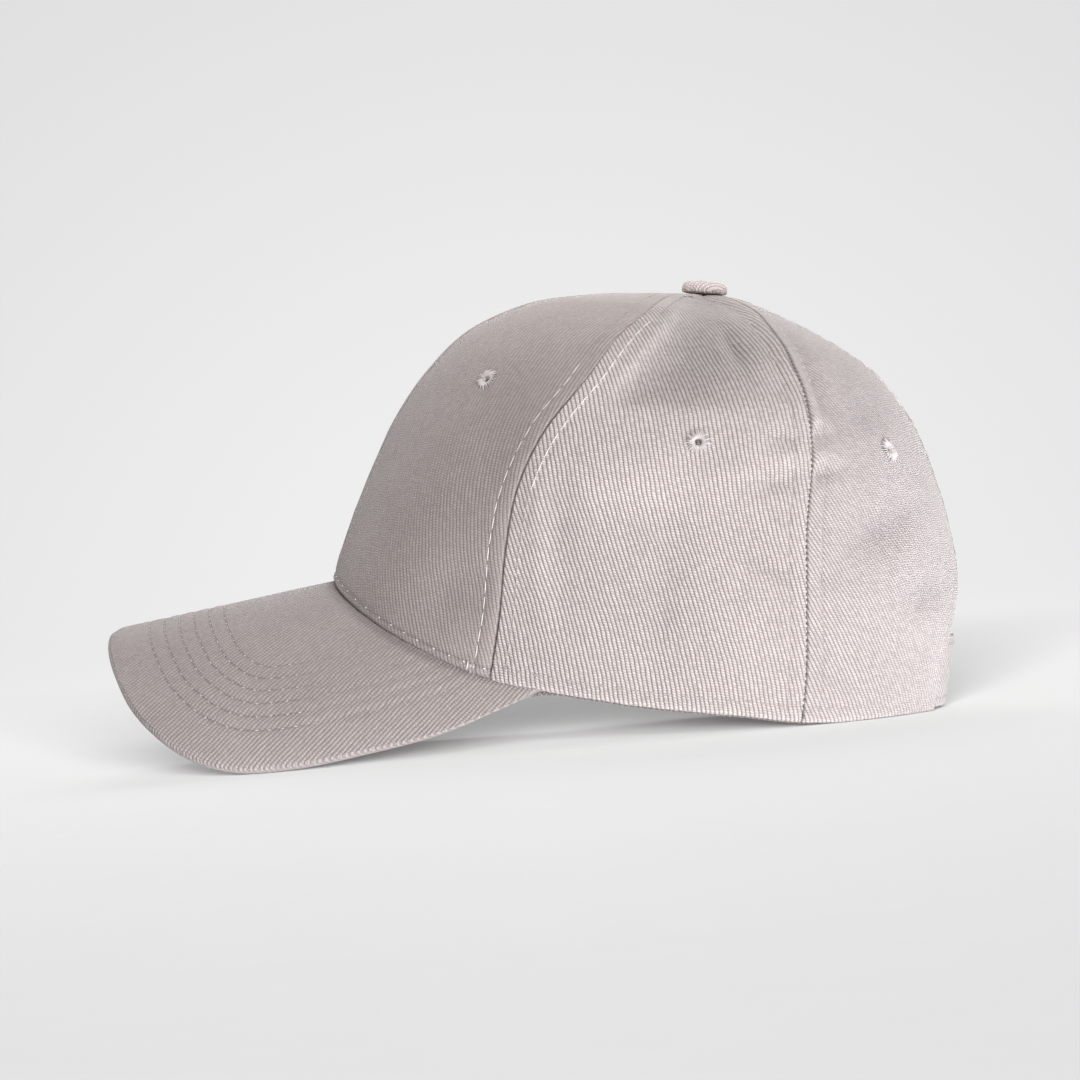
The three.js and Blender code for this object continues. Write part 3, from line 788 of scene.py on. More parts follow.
def column_fractions(panel):
    """Fractions of a panel's columns between its seams."""
    if panel.word != "rear":
        return crowded(86, 46)
    foot = rear_angle_at(ARCH_HALF_WIDTH, 0.0)
    foot_place = place_at(lambda q: foot, lambda *_: 0.0)
    first, last = panel.angle(0.0, foot_place), panel.angle(1.0, foot_place)
    foot_fraction = float((foot - first) / (last - first))
    turn = np.linspace(0, np.pi / 2, ARCH_CELLS + 1)[1:]
    x, height = ARCH_HALF_WIDTH * np.cos(turn), ARCH_HEIGHT * np.sin(turn)
    angle = rear_angle_at(x, height)
    place = place_at(lambda q: angle, lambda *_: height)
    first, last = panel.angle(0 * place, place), panel.angle(0 * place + 1, place)
    arch = np.minimum((angle - first) / (last - first), 1)
    arch[-1] = 1
    plain = crowded(86 * foot_fraction, 16, both_ends=False) * foot_fraction
    near_back = 1 - np.array(NEAR_EDGE[1:12]) / 86
    return np.unique(np.concatenate([plain, arch, near_back]).round(6))


def lay_panel(panel):
    fraction = column_fractions(panel)
    low = place_at(lambda q: panel.angle(fraction, q), panel.edge_height)
    top = crown_point(0, TOP_SECTION, False)

    def inside_top(place):
        p = crown_point(panel.angle(fraction, place), place, False)
        return TOP_RADIUS - np.linalg.norm(p - top, axis=-1)

    high = halve(inside_top, TOP_SECTION - 2, TOP_SECTION - 1e-4)
    climb = crowded(PANEL_RISE, 84, both_ends=False)[:, None]
    place = low + (high - low) * climb
    fraction = np.broadcast_to(fraction, place.shape)
    points = panel.cloth(fraction, place)
    points[..., 2] = np.maximum(points[..., 2], 0.02)
    bm = laid_grid(points + np.array([0, CENTRE_Y, 0]), panel.flat_cut(fraction, place),
                   panel.wear(fraction, place))
    if panel.side < 0:
        bmesh.ops.reverse_faces(bm, faces=bm.faces)
    cut_eyelet_hole(bm, panel)
    cloth = {"front": FRONT_TWILL, "side": TWILL, "rear": REAR_TWILL}[panel.word]
    piece = write_piece("cloth_" + panel.name, bm, cloth)
    wall = piece.modifiers.new("cloth thickness", "SOLIDIFY")
    wall.thickness, wall.offset = CLOTH * MM, -1
    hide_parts(panel.name)
    return piece


def cut_eyelet_hole(bm, panel):
    angle, place = EYELETS[panel.word]
    centre = Vector((panel.eyelet_spot() + np.array([0, CENTRE_Y, 0])) * MM)
    normal = Vector(crown_normal(panel.side * angle, place))
    inside = [f for f in bm.faces
              if (f.calc_center_median() - centre).length < (EYELET_CUT - 0.3) * MM]
    bmesh.ops.delete(bm, geom=inside, context="FACES")
    for v in bm.verts:
        offset = v.co - centre
        if offset.length < 5 * MM and v.is_boundary:
            flat = offset - normal * offset.dot(normal)
            v.co += flat.normalized() * EYELET_CUT * MM - flat


for panel in PANELS.values():
    piece = lay_panel(panel)
    print(piece.name, len(piece.data.polygons), "faces")

# %% [markdown]
# ## Stitches
#
# A lockstitch shows as a row of short threads that dip into the cloth at both ends. Each is
# a small ball stretched to a grain of rice, the cheapest shape that still rounds the light.
# Hundreds of them follow a path on the cloth, a little uneven as a real row is.

# %% Stitch rows
def sewn_row(name, path, normals, length=4.4, gap=0.6, width=0.31, material=THREAD, seed=0):
    """A piece of stitches along a path of points in mm."""
    steps = np.linalg.norm(np.diff(path, axis=0), axis=1)
    run = np.concatenate([[0], np.cumsum(steps)])
    draw = np.random.default_rng(500 + seed)
    bm = bmesh.new()
    start, count = gap, 0
    while start + length < run[-1]:
        here = length * draw.uniform(0.93, 1.05)
        ends = [np.array([np.interp(s, run, path[:, i]) for i in range(3)])
                for s in (start, start + here)]
        up = np.array([np.interp(start + here / 2, run, normals[:, i]) for i in range(3)])
        along = (ends[1] - ends[0]) / np.linalg.norm(ends[1] - ends[0])
        aside = np.cross(up, along)
        aside = aside / np.linalg.norm(aside)
        up = np.cross(along, aside)
        middle = (ends[0] + ends[1]) / 2 + aside * draw.normal(0, 0.05) + [0, CENTRE_Y, 0]
        axes = np.stack([along * here / 2, aside * width / 2, up * width * 0.42], 1) * MM
        place = Matrix(axes.tolist()).to_4x4()
        place.translation = Vector(middle * MM)
        bmesh.ops.create_uvsphere(bm, u_segments=8, v_segments=6, radius=1,
                                  matrix=place @ Matrix.Rotation(np.pi / 2, 4, "Y"))
        start += here + gap * draw.uniform(0.8, 1.3)
        count += 1
    bmesh.ops.recalc_face_normals(bm, faces=bm.faces)
    write_piece(name, bm, material)
    return count


def contiguous(points, normals, mask):
    """The unbroken stretches of a path where a mask holds."""
    spots = np.where(mask)[0]
    for stretch in np.split(spots, np.where(np.diff(spots) > 1)[0] + 1):
        if len(stretch) > 8:
            yield points[stretch], normals[stretch]


def seam_path(panel, at_first, distance, from_rim=2.0, to_top=7.0):
    """Points and normals on a panel's cloth beside one of its seams."""
    places = np.linspace(0, TOP_SECTION - 0.05, 260)
    fractions = []
    for place in places:
        widths = panel.look_up(panel.widths, panel.fractions, np.full(TABLE_COLUMNS, place))
        target = distance if at_first else widths[-1] - distance
        fractions.append(np.interp(target, widths, panel.fractions))
    fractions = np.array(fractions)
    first, last, rim, _ = panel.distances(fractions, places)
    top = panel.cloth(fractions, places)
    from_top = np.linalg.norm(top - crown_point(0, TOP_SECTION, False), axis=1)
    keep = (rim > from_rim) & (from_top > to_top) & (first + last > 2.1 * distance)
    fractions, places = fractions[keep], places[keep]
    angle = panel.side * panel.angle(fractions, places)
    return panel.cloth(fractions, places, 0.14), crown_normal(angle, places), places


# How far a row runs from its seam, where it isn't STITCH_FROM_SEAM
STITCH_DISTANCES = {("side", "first"): 4.6, ("rear", "last"): 7.5}
# Between which places up the crown each row's thread lies on top; elsewhere its thread
# is painted dark, as painted shade in its dip
NEAR_BUTTON = 9
NOWHERE = (NEAR_BUTTON, NEAR_BUTTON)
THREAD_ON_TOP = {("front", "first"): NOWHERE, ("front", "last"): (0.4, 5.4),
                 ("side", "first"): (2.9, 6.7), ("side", "last"): NOWHERE,
                 ("rear", "first"): NOWHERE, ("rear", "last"): (5.2, NEAR_BUTTON)}
# From which place up a row shows as short threads in the shade of its dip
SHADED_FROM = {("side", "last"): 5.4, ("rear", "first"): 5.4}
stitches = 0
for panel in PANELS.values():
    for at_first, where in ((True, "first"), (False, "last")):
        distance = STITCH_DISTANCES.get((panel.word, where), STITCH_FROM_SEAM)
        path, normals, places = seam_path(panel, at_first, distance)
        low, high = THREAD_ON_TOP[panel.word, where]
        on_top = (places > low) & (places < high)
        shaded = places > SHADED_FROM.get((panel.word, where), NEAR_BUTTON)
        painted_shade_rows = ~on_top & ~shaded
        for mark, mask, thread, length, gap in (
                ("", on_top, THREAD, 4.4, 0.6), ("_sunk", painted_shade_rows, THREAD_IN_PAINTED_SHADE, 4.4, 0.6),
                ("_shaded", shaded, PEAK_THREAD, 1.7, 1.0)):
            for number, (run, faces) in enumerate(contiguous(path, normals, mask)):
                stitches += sewn_row(f"stitches_{panel.name[6:]}_{where}{mark}_{number}", run,
                                     faces, length=length, gap=gap, material=thread,
                                     seed=panel.seed * 2 + at_first)
for panel in PANELS.values():
    if panel.word == "side":
        path, normals, _ = seam_path(panel, False, 0.15)
        stitches += sewn_row(f"stitches_{panel.name[6:]}_ditch", path, normals, length=0.9,
                             gap=0.9, width=0.5, material=PEAK_THREAD, seed=30 + panel.side)
print(stitches, "stitches along the crown's seams")


def hem_path(panel, height, from_fraction, to_fraction):
    """Points and normals on a panel's cloth, so far above its rim."""
    fractions = np.linspace(from_fraction, to_fraction, 160)
    low = place_at(lambda q: panel.angle(fractions, q), panel.edge_height)
    slant = FRONT_SLANT if panel.word == "front" else 1.0
    rise = np.interp(low, panel.places, panel.rises) + height / slant
    places = np.interp(rise, panel.rises, panel.places)
    angle = panel.side * panel.angle(fractions, places)
    return panel.cloth(fractions, places, 0.16), crown_normal(angle, places)


# Where the hem's stitches start and end on each panel, as fractions between its seams, and
# their height, length and gap; over the peak they are pulled in so that only dots show
HEM_RUNS = {"front": (0.01, 0.99, 2.8, 0.9, 5.2), "side": (0.01, 0.99, HEM_HEIGHT, 2.4, 2.6),
            "rear": (0.01, 0.30, HEM_HEIGHT, 2.4, 2.6)}
for panel in PANELS.values():
    start, end, height, length, gap = HEM_RUNS[panel.word]
    path, normals = hem_path(panel, height, start, end)
    thread = THREAD if panel.word == "front" else THREAD_IN_PAINTED_SHADE
    sewn_row(f"stitches_{panel.name[6:]}_hem", path, normals, length=length, gap=gap,
             width=0.42, material=thread, seed=40 + panel.seed)


def add_arch_stitches(panel):
    """The row round the half-moon opening, which holds its turned edge."""
    turn = np.linspace(np.radians(14), np.pi / 2 - 0.02, 90)
    x = (ARCH_HALF_WIDTH + HEM_HEIGHT) * np.cos(turn)
    height = (ARCH_HEIGHT + HEM_HEIGHT) * np.sin(turn)
    angle = rear_angle_at(x, height)
    place = place_at(lambda q: angle, lambda *_: height)
    first, last = panel.angle(0 * place, place), panel.angle(0 * place + 1, place)
    fraction = np.clip((angle - first) / (last - first), 0, 1)
    sewn_row(f"stitches_{panel.name[6:]}_arch", panel.cloth(fraction, place, 0.12),
             crown_normal(panel.side * angle, place), length=2.6, gap=1.0, width=0.3,
             material=PEAK_THREAD, seed=80 + panel.seed)


def add_bar_tack(panel):
    """Three tight upright stitches that hold the end of the hem, beside the seam."""
    for number, aside in enumerate(np.linspace(5.6, 7.6, 3)):
        places = np.linspace(0, 1, 41)
        widths = np.array([panel.look_up(panel.widths, panel.fractions,
                                         np.full(TABLE_COLUMNS, q)) for q in places])
        fractions = np.array([np.interp(w[-1] - aside, w, panel.fractions) for w in widths])
        rim = panel.distances(fractions, places)[2]
        keep = (rim > 0.1) & (rim < 4.2)
        angle = panel.side * panel.angle(fractions[keep], places[keep])
        sewn_row(f"bar_tack_{panel.name[6:]}_{number}",
                 panel.cloth(fractions[keep], places[keep], 0.25),
                 crown_normal(angle, places[keep]), length=3.0, gap=0.2, width=0.34,
                 seed=90 + number)


for panel in PANELS.values():
    if panel.word == "front":
        add_bar_tack(panel)
    if panel.word == "rear":
        add_arch_stitches(panel)

# %% [markdown]
# ## Eyelets
#
# An embroidered eyelet is a small hole wound round with thread. A torus would look like
# a plastic ring, so each winding is its own bent thread, laid side by side round the hole,
# with uneven outer ends as the needle leaves them. A plain ring below closes the gaps.

# %% Eyelets
EYELET_WINDINGS = 30
# The plain ring below the windings: distance from the hole's middle, and height, in mm
EYELET_RING = [(1.1, -1.4), (1.15, 0.0), (1.6, 0.3), (2.2, 0.16), (2.6, -0.2), (2.2, -0.5),
               (2.0, -1.4)]


def bent_winding(bm, place, reach, width):
    """One winding: a stretched ball, bent over the edge of the hole, placed by a matrix."""
    made = bmesh.ops.create_uvsphere(bm, u_segments=8, v_segments=8, radius=1)["verts"]
    for v in made:
        along = v.co.z
        v.co = Vector((1.05 + (along + 1) / 2 * reach, v.co.y * width,
                       v.co.x * 0.28 + 0.55 - 0.62 * (along + 0.1) ** 2))
        v.co *= MM
    bmesh.ops.transform(bm, matrix=place, verts=made)


def add_eyelet(panel):
    angle, section = EYELETS[panel.word]
    normal = Vector(crown_normal(panel.side * angle, section))
    centre = Vector((panel.eyelet_spot() + np.array([0, CENTRE_Y, 0])) * MM)
    seat = Matrix.Translation(centre) @ normal.to_track_quat("Z", "Y").to_matrix().to_4x4()
    draw = np.random.default_rng(70 + panel.seed)
    bm = bmesh.new()
    for i in range(EYELET_WINDINGS):
        turn = 2 * np.pi * (i + draw.uniform(-0.15, 0.15)) / EYELET_WINDINGS
        spin = Matrix.Rotation(turn, 4, "Z")
        bent_winding(bm, seat @ spin, draw.uniform(2.2, 3.4), draw.uniform(0.15, 0.22))
    ring = [bm.verts.new((r * MM, 0, z * MM)) for r, z in EYELET_RING]
    edges = [bm.edges.new(pair) for pair in zip(ring, ring[1:] + ring[:1])]
    made = bmesh.ops.spin(bm, geom=ring + edges, axis=(0, 0, 1), cent=(0, 0, 0),
                          angle=2 * np.pi, steps=32, use_merge=True)
    ring_verts = {v for v in bm.verts if v.link_faces and v.co.length < 5 * MM}
    bmesh.ops.transform(bm, matrix=seat, verts=list(ring_verts))
    bmesh.ops.remove_doubles(bm, verts=list(ring_verts), dist=1e-6)
    bmesh.ops.recalc_face_normals(bm, faces=bm.faces)
    piece = write_piece("wound_eyelet_" + panel.name[6:], bm, EYELET_THREAD)
    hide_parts("eyelet_" + panel.name[6:])


for panel in PANELS.values():
    add_eyelet(panel)
print("eyelets:", len(PANELS), "with", EYELET_WINDINGS, "windings each")

# %% [markdown]
# ## The covered button
#
# A disc of cloth is gathered over a metal shell at the top, where all six panels meet.
# A spun profile gives the shell; ripples that grow towards its lower edge are the gathers.

# %% Button
BUTTON_TILT = np.radians(9)
# Distance from the axis and height above the seat
BUTTON_PROFILE = [(0, -3.2), (1.6, -3.2), (1.6, -0.05), (5.6, 0.0), (6.75, 0.18), (7.15, 0.62),
                  (7.25, 1.2), (7.25, 2.0), (7.1, 2.7), (6.75, 3.25), (6.1, 3.7), (5.1, 4.0),
                  (3.6, 4.18), (1.8, 4.27), (0, 4.3)]


def add_button():
    low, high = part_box("button")
    top = Vector(crown_point(0, TOP_SECTION, False)) + Vector((0, CENTRE_Y, 0))
    axis = Vector((0, np.sin(BUTTON_TILT), np.cos(BUTTON_TILT)))
    lowest = low.z / MM - top.z
    seat = lowest / axis.z + 3.2 + 1.6 * np.tan(BUTTON_TILT)
    bm = bmesh.new()
    profile = [bm.verts.new((r * MM, 0, z * MM)) for r, z in BUTTON_PROFILE]
    edges = [bm.edges.new(pair) for pair in zip(profile, profile[1:])]
    bmesh.ops.spin(bm, geom=profile + edges, axis=(0, 0, 1), cent=(0, 0, 0),
                   angle=2 * np.pi, steps=72, use_merge=True)
    bmesh.ops.remove_doubles(bm, verts=bm.verts, dist=1e-6)
    cloth_map = bm.loops.layers.uv.new("cloth")
    shade_tint = bm.verts.layers.float.new("wear")
    for v in bm.verts:
        away = Vector((v.co.x, v.co.y, 0))
        turn = np.arctan2(v.co.y, v.co.x)
        low_down = 1 - step(v.co.z / MM, 0.1, 2.6)
        if away.length > 4 * MM:
            ripple = 0.16 * np.sin(19 * turn + 2 * np.sin(3 * turn)) * low_down
            v.co += away.normalized() * ripple * MM
        # painted light on the button, with painted shade towards its lower edge
        v[shade_tint] = 0.75 - 0.5 * low_down
    for face in bm.faces:
        for loop in face.loops:
            co = loop.vert.co
            stretch = 1 + 0.45 * max(0, 4.3 - co.z / MM) / 4.3
            flat = turned(np.array([co.x, co.y]) / MM * stretch, 35)
            loop[cloth_map].uv = flat / 100 + 7.0
    turn = Matrix.Rotation(-BUTTON_TILT, 4, "X")
    place = Matrix.Translation((top + axis * seat) * MM) @ turn
    bmesh.ops.transform(bm, matrix=place, verts=bm.verts)
    bmesh.ops.recalc_face_normals(bm, faces=bm.faces)
    piece = write_piece("covered_button", bm, BUTTON_TWILL)
    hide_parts("button")
    print("button seat", round(seat, 2), "mm above the panels' meeting point")


add_button()

# %% [markdown]
# ## The peak
#
# The peak is a stiff board between two cloths that are turned in at its edge. Its cross
# section is a closed loop: upper face, rounded edge, lower face and the root, which is
# hidden in the crown. The loop is swept from temple to temple, then its ends are closed.
# Six rows of stitches follow the edge; each one presses a shallow groove in the cloth.

# %% Peak shape
PEAK_THICKNESS, PEAK_TEMPLE_THICKNESS = 3.0, 1.0
PEAK_COLUMNS = 150
PEAK_GRAIN = 40
# Rows of the lattice: parts of the way from the edge to the crown, and degrees round the edge
CLOSE_TO_EDGE = [0, 0.006, 0.015, 0.03, 0.05, 0.075]
EDGE_TURNS = [64, 48, 32, 16, 0, -14, -24, -30, -35, -40, -46, -56, -70]


def peak_edge(t):
    """Distance round the arch and Y of the peak's edge, t from -1 to 1."""
    edge = curve_through(PEAK_EDGE, np.abs(t) * (len(PEAK_EDGE) - 1))
    return np.sign(t) * edge[..., 0], edge[..., 1]


EDGE_LINE = np.stack(peak_edge(np.linspace(-1, 1, 481)), -1)


def edge_distance(across, y):
    """Distance on the flat peak from its outer edge."""
    spots = np.stack([across, y], -1).reshape(-1, 1, 2)
    gaps = np.linalg.norm(spots - EDGE_LINE[None], axis=2).min(1)
    return gaps.reshape(np.shape(across))


def peak_surface(across, y, depth):
    """Points of the arched peak, in mm, by the place on its flat pattern."""
    turn = across / PEAK_RADIUS
    radius = PEAK_RADIUS - depth
    ridge = PEAK_RIDGE_Z + (y - PEAK_RIDGE_Y) * PEAK_SLOPE
    z = ridge - PEAK_RADIUS + radius * np.cos(turn)
    return np.stack([radius * np.sin(turn), y, np.maximum(z, 0.0)], -1)


def peak_root(angle, depth):
    """Where the peak, at a depth, meets the inside of the crown's wall: round and Y."""
    def inside(place):
        return crown_point(angle, place) - crown_normal(angle, place) * CLOTH

    def above(place):
        p = inside(place)
        return p[..., 2] - peak_height(p[..., 0], p[..., 1], -depth)
    p = inside(halve(above, 0, 3))
    return np.arcsin(p[..., 0] / (PEAK_RADIUS - depth)) * PEAK_RADIUS, p[..., 1]


def tip_droop(across, y):
    """How far the rounded tip of the peak turns down, in mm."""
    close = 1 - step(edge_distance(across, y), 0, 5)
    return 0.9 * close ** 2 * (1 - step(np.abs(across), 24, 62))


def peak_relief(across, y):
    """Height of the upper cloth: a groove for each row of stitches, soft puckers between."""
    edge = edge_distance(across, y)
    number = (edge - FIRST_PEAK_ROW) / PEAK_ROW_PITCH
    sewn = step(number, -0.6, 0) * (1 - step(number, PEAK_ROWS - 1, PEAK_ROWS - 0.4))
    padding = 0.10 * sewn * -np.cos(2 * np.pi * number)
    flat = np.stack([across, y, 0 * y], -1)
    pucker = soft_noise(flat, 6, 3) * 0.08 * sewn + soft_noise(flat, 24, 4) * 0.2
    return padding + pucker * step(edge, 0.5, 5), edge


def rows_shown(points):
    """The rows lie clearly in the cloth at the front of the peak and sink into it further on."""
    return 1 - 0.85 * step(points[..., 1], -86, -70) * step(np.abs(points[..., 0]), 20, 34)


def add_peak():
    t = np.linspace(-1, 1, PEAK_COLUMNS + 1)
    angle = t * (PEAK_END_ANGLE - 0.3)
    taper = step(np.abs(t), 0.72, 1)
    thick = PEAK_THICKNESS + (PEAK_TEMPLE_THICKNESS - PEAK_THICKNESS) * taper
    edge_across, edge_y = peak_edge(t)
    inwards = np.concatenate([CLOSE_TO_EDGE, np.linspace(0.1, 1, 64)])
    turns = np.radians(EDGE_TURNS)
    slope_x, slope_y = np.gradient(edge_across, t), np.gradient(edge_y, t)
    away_x, away_y = np.stack([slope_y, -slope_x]) / np.hypot(slope_x, slope_y)
    rows, wear, inside = [], [], []
    for face, order in (("upper", inwards[::-1]), ("edge", turns), ("lower", inwards)):
        root_depth = thick if face == "lower" else 0 * thick
        root_across, root_y = peak_root(angle, root_depth)
        for value in order:
            part = 0.0 if face == "edge" else value
            half = thick / 2
            inset = half * (1 - np.cos(turns[0])) * (1 - step(part, 0, 0.08))
            across = edge_across + (root_across - edge_across) * part
            y = edge_y + (root_y - edge_y) * part
            droop = tip_droop(across, y)
            if face == "edge":
                depth = half - half * np.sin(value) + droop
                out = half * np.cos(value) - half
                seam = hollow(np.degrees(value), -35, 6)
                out = out - 0.15 * seam * thick / PEAK_THICKNESS
                across, y = across + away_x * out, y + away_y * out
                rows.append(peak_surface(across, y, depth))
                # painted shade in the edge's seam and on the lower half of the rounded edge
                wear.append(0 * t - 0.35 * seam - 0.45 * step(-np.degrees(value), -10, 40))
                inside.append(0 * t)
            else:
                across, y = across - away_x * inset, y - away_y * inset
                roll = 0.05 * thick * (1 - step(part, 0, 0.03))
                high, edge = peak_relief(across, y)
                depth = droop + (roll - high if face == "upper" else thick - roll)
                rows.append(peak_surface(across, y, depth))
                # paler at the edge, and painted shade where the peak meets the crown
                at_crown = hollow((1 - part) * np.hypot(root_across - edge_across,
                                                        root_y - edge_y), 2.2, 1.6)
                wear.append(0.15 * hollow(edge, 0, 1.6) - 0.9 * at_crown)
                inside.append(edge)
    rows.append(rows[0].copy())
    wear.append(wear[0])
    inside.append(inside[0])
    points = np.array(rows)
    turn = np.arcsin(np.clip(points[..., 0] / PEAK_RADIUS, -1, 1)) * PEAK_RADIUS
    cut = turned(np.stack([turn, points[..., 1]], -1), PEAK_GRAIN)
    bm = laid_grid(points + np.array([0, CENTRE_Y, 0]), cut + 2000, np.array(wear),
                   from_edge=np.array(inside), rows_shown=rows_shown(points))
    bmesh.ops.remove_doubles(bm, verts=bm.verts, dist=1e-6)
    ends = [e for e in bm.edges if e.is_boundary]
    bmesh.ops.holes_fill(bm, edges=ends, sides=0)
    bmesh.ops.recalc_face_normals(bm, faces=bm.faces)
    piece = write_piece("stitched_peak", bm, PEAK_TWILL)
    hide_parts("peak")
    print(piece.name, len(piece.data.polygons), "faces")


add_peak()

# %% [markdown]
# ## Rows of stitches on the peak
#
# The rows run at even distances inside the edge. On the flat pattern that is a simple
# offset of the edge line; the points that run into the crown or past a bend are left out.

# %% Peak stitches
def peak_row(distance):
    """Points and normals on the peak, so far inside its edge."""
    across, y = peak_edge(np.linspace(-0.97, 0.97, 700))
    slope_a, slope_y = np.gradient(across), np.gradient(y)
    size = np.hypot(slope_a, slope_y)
    across, y = across - slope_y / size * distance, y + slope_a / size * distance
    keep = edge_distance(across, y) > distance - 0.25
    turn = across / PEAK_RADIUS
    x = PEAK_RADIUS * np.sin(turn)
    z = peak_height(x, y)
    crown = crown_front_at(x, z)
    keep &= (y < crown - 1.0) & (z > 2.0)
    across, y = across[keep], y[keep]
    high, _ = peak_relief(across, y)
    points = peak_surface(across, y, tip_droop(across, y) - high - 0.02)
    turn = across / PEAK_RADIUS
    normal = np.stack([np.sin(turn), -PEAK_SLOPE * np.cos(turn), np.cos(turn)], -1)
    return points, normal


def crown_front_at(x, z):
    """Y of the crown's front face, by the distance from the middle and the height."""
    angles = np.linspace(0, 88, 90)
    place = place_at(lambda q: angles, rim_height)
    p = crown_point(angles, place)
    return np.interp(np.abs(x), p[:, 0], p[:, 1], right=-30.0)


for number in range(PEAK_ROWS):
    distance = FIRST_PEAK_ROW + number * PEAK_ROW_PITCH
    path, normals = peak_row(distance)
    gaps = np.where(np.linalg.norm(np.diff(path, axis=0), axis=1) > 6)[0]
    count = 0
    runs = zip(np.split(path, gaps + 1), np.split(normals, gaps + 1))
    for part, (run, faces) in enumerate(runs):
        clear = rows_shown(run) > 0.5
        for mark, mask, thread in (("", clear, PEAK_THREAD), ("_sunk", ~clear, THREAD_IN_PAINTED_SHADE)):
            if mask.sum() > 8:
                for run_part, faces_part in contiguous(run, faces, mask):
                    count += sewn_row(f"stitches_peak_{number + 1}_{part + 1}{mark}", run_part,
                                      faces_part, length=1.0, gap=3.3, width=0.34,
                                      material=thread, seed=60 + number * 3 + part)
    print("peak row", number + 1, "at", round(distance, 1), "mm:", count, "stitches")

# %% [markdown]
# ## Sweatband and strap
#
# Both are strips that lie against the inside of the crown. Only a thin line of the band
# shows below the rim from the side; the strap crosses the half-moon opening at the back.

# %% Strips inside the crown
BAND_HEIGHT, BAND_THICKNESS, BAND_PAST_RIM = 30, 1.2, 0.6
STRAP_HEIGHT, STRAP_THICKNESS, STRAP_TUCK = 22, 1.4, 10
BEHIND_CROWN = CLOTH + CLEARANCE + 0.15


def band_low(angle, x, y):
    at_peak = step(PEAK_END_ANGLE + 4 - folded_angle(angle), 0, 12)
    drop = BAND_PAST_RIM + (PEAK_THICKNESS + CLEARANCE - BAND_PAST_RIM) * at_peak
    return np.maximum(rim_height(angle, x, y) - drop, CLEARANCE)


def band_high(angle, x, y):
    return rim_height(angle, x, y) + BAND_HEIGHT


def inner_strip(angles, low_at, high_at, climb, bulge):
    """Lattice of a strip behind the crown's wall, its edges a little rounded."""
    low = place_at(lambda q: angles, low_at)
    high = place_at(lambda q: angles, high_at)
    place = low + (high - low) * climb[:, None]
    angle = np.broadcast_to(angles, place.shape)
    depth = BEHIND_CROWN + bulge[:, None]
    points = crown_point(angle, place) - crown_normal(angle, place) * depth[..., None]
    run = np.cumsum(np.linalg.norm(np.diff(points[0], axis=0), axis=1))
    around = np.broadcast_to(np.concatenate([[0], run]), place.shape)
    rise = np.cumsum(np.linalg.norm(np.diff(points[:, 0], axis=0), axis=1))
    upwards = np.broadcast_to(np.concatenate([[0], rise])[:, None], place.shape)
    return points + np.array([0, CENTRE_Y, 0]), np.stack([around, upwards], -1)


def add_strip(name, node, angles, low_at, high_at, thickness, material, grain, offset):
    climb = np.concatenate([[0, 0.015, 0.04, 0.08], np.linspace(0.12, 0.88, 12),
                            [0.92, 0.96, 0.985, 1]])
    edge = np.minimum(climb, 1 - climb)
    bulge = 0.3 * (1 - step(edge, 0, 0.05))
    points, cut = inner_strip(angles, low_at, high_at, climb, bulge)
    wear = np.broadcast_to((0.3 * hollow(edge, 0.02, 0.02))[:, None], points.shape[:2])
    bm = laid_grid(points, turned(cut, grain) + offset, wear)
    piece = write_piece(name, bm, material)
    wall = piece.modifiers.new("cloth thickness", "SOLIDIFY")
    wall.thickness, wall.offset = thickness * MM, -1
    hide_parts(node)
    print(name, "runs", round(float(cut[0, -1, 0])), "mm round the crown")
    return points - np.array([0, CENTRE_Y, 0]), climb


strap_end = float(rear_angle_at(ARCH_HALF_WIDTH + STRAP_TUCK, STRAP_HEIGHT / 2))
band_end = strap_end - np.degrees(CLEARANCE / CROWN_SECTIONS[1, 4]) * 2
add_strip("sweatband_strip", "sweatband", np.linspace(-band_end, band_end, 241), band_low,
          band_high, BAND_THICKNESS, BAND_CLOTH, 45, 3000)
strap, climb = add_strip("closure_strap", "back_strap",
                         np.linspace(strap_end, 360 - strap_end, 91), lambda *_: CLEARANCE,
                         lambda *_: CLEARANCE + STRAP_HEIGHT, STRAP_THICKNESS, TWILL,
                         60, 4000)
for name, at in (("low", 0.12), ("high", 0.88)):
    row = strap[np.argmin(np.abs(climb - at))]
    side = np.gradient(row, axis=0)
    faces = np.stack([side[:, 1], -side[:, 0], 0 * side[:, 0]], -1)
    faces = -faces / np.linalg.norm(faces, axis=1, keepdims=True)
    faces *= np.sign(faces[len(faces) // 2, 1])
    sewn_row("stitches_strap_" + name, row + faces * 0.1, faces, length=2.6, gap=1.0,
             width=0.34, material=THREAD_IN_PAINTED_SHADE, seed=130)

# %% [markdown]
# ## The studio
#
# The photo has a pale paper sweep without a horizon and soft light from the right, beside
# the camera. A wide bowl of pale paper stands in for it. It glows by itself, as paper does
# under its own lamps, brightest along the middle, where the cap stands, and near the cap it
# takes soft shadows. How much it glows depends on the place on the paper alone.

# %% Paper sweep
# The paper's glow is painted light: the paper itself emits a pool, brightest along the middle
PAPER_CENTRE = 0.89    # along the middle of the paper, under and behind the cap
PAPER_RIM = 0.73       # from POOL_REACH metres off the middle
POOL_REACH = 0.85
SIDE_SHARE = 0.685     # what is left of the glow far to the sides and high up
NEAR_SHARE = 0.89      # and towards 1.3 m on the cap's left side
FRONT_SHARE = 0.88     # and once more from 1.5 m on that side
POOL_FLATNESS = 0.88   # sideways the pool reaches further than it does up the bowl
# Between which values the glow falls, and the shadow lamps take over: in metres off the
# middle, in distance of the direction from straight back, and in metres from the cap
OFF_MIDDLE, FROM_BACK, NEAR_CAP = (0.25, 0.9), (0.235, 0.7), (0.75, 1.4)
BOWL_FLOOR, BOWL_CORNER, BOWL_HEIGHT = 2.2, 1.0, 3.2
PAPER_ALBEDO = 0.85    # at most, near the cap
SHADOW_DEPTH = 0.96    # share of the paper's light that the shadow takes away
AIR = 0.06             # light from above, through the open top of the bowl
BOWL_LIGHT = 0.16      # what the floor gets from the glow of the whole bowl

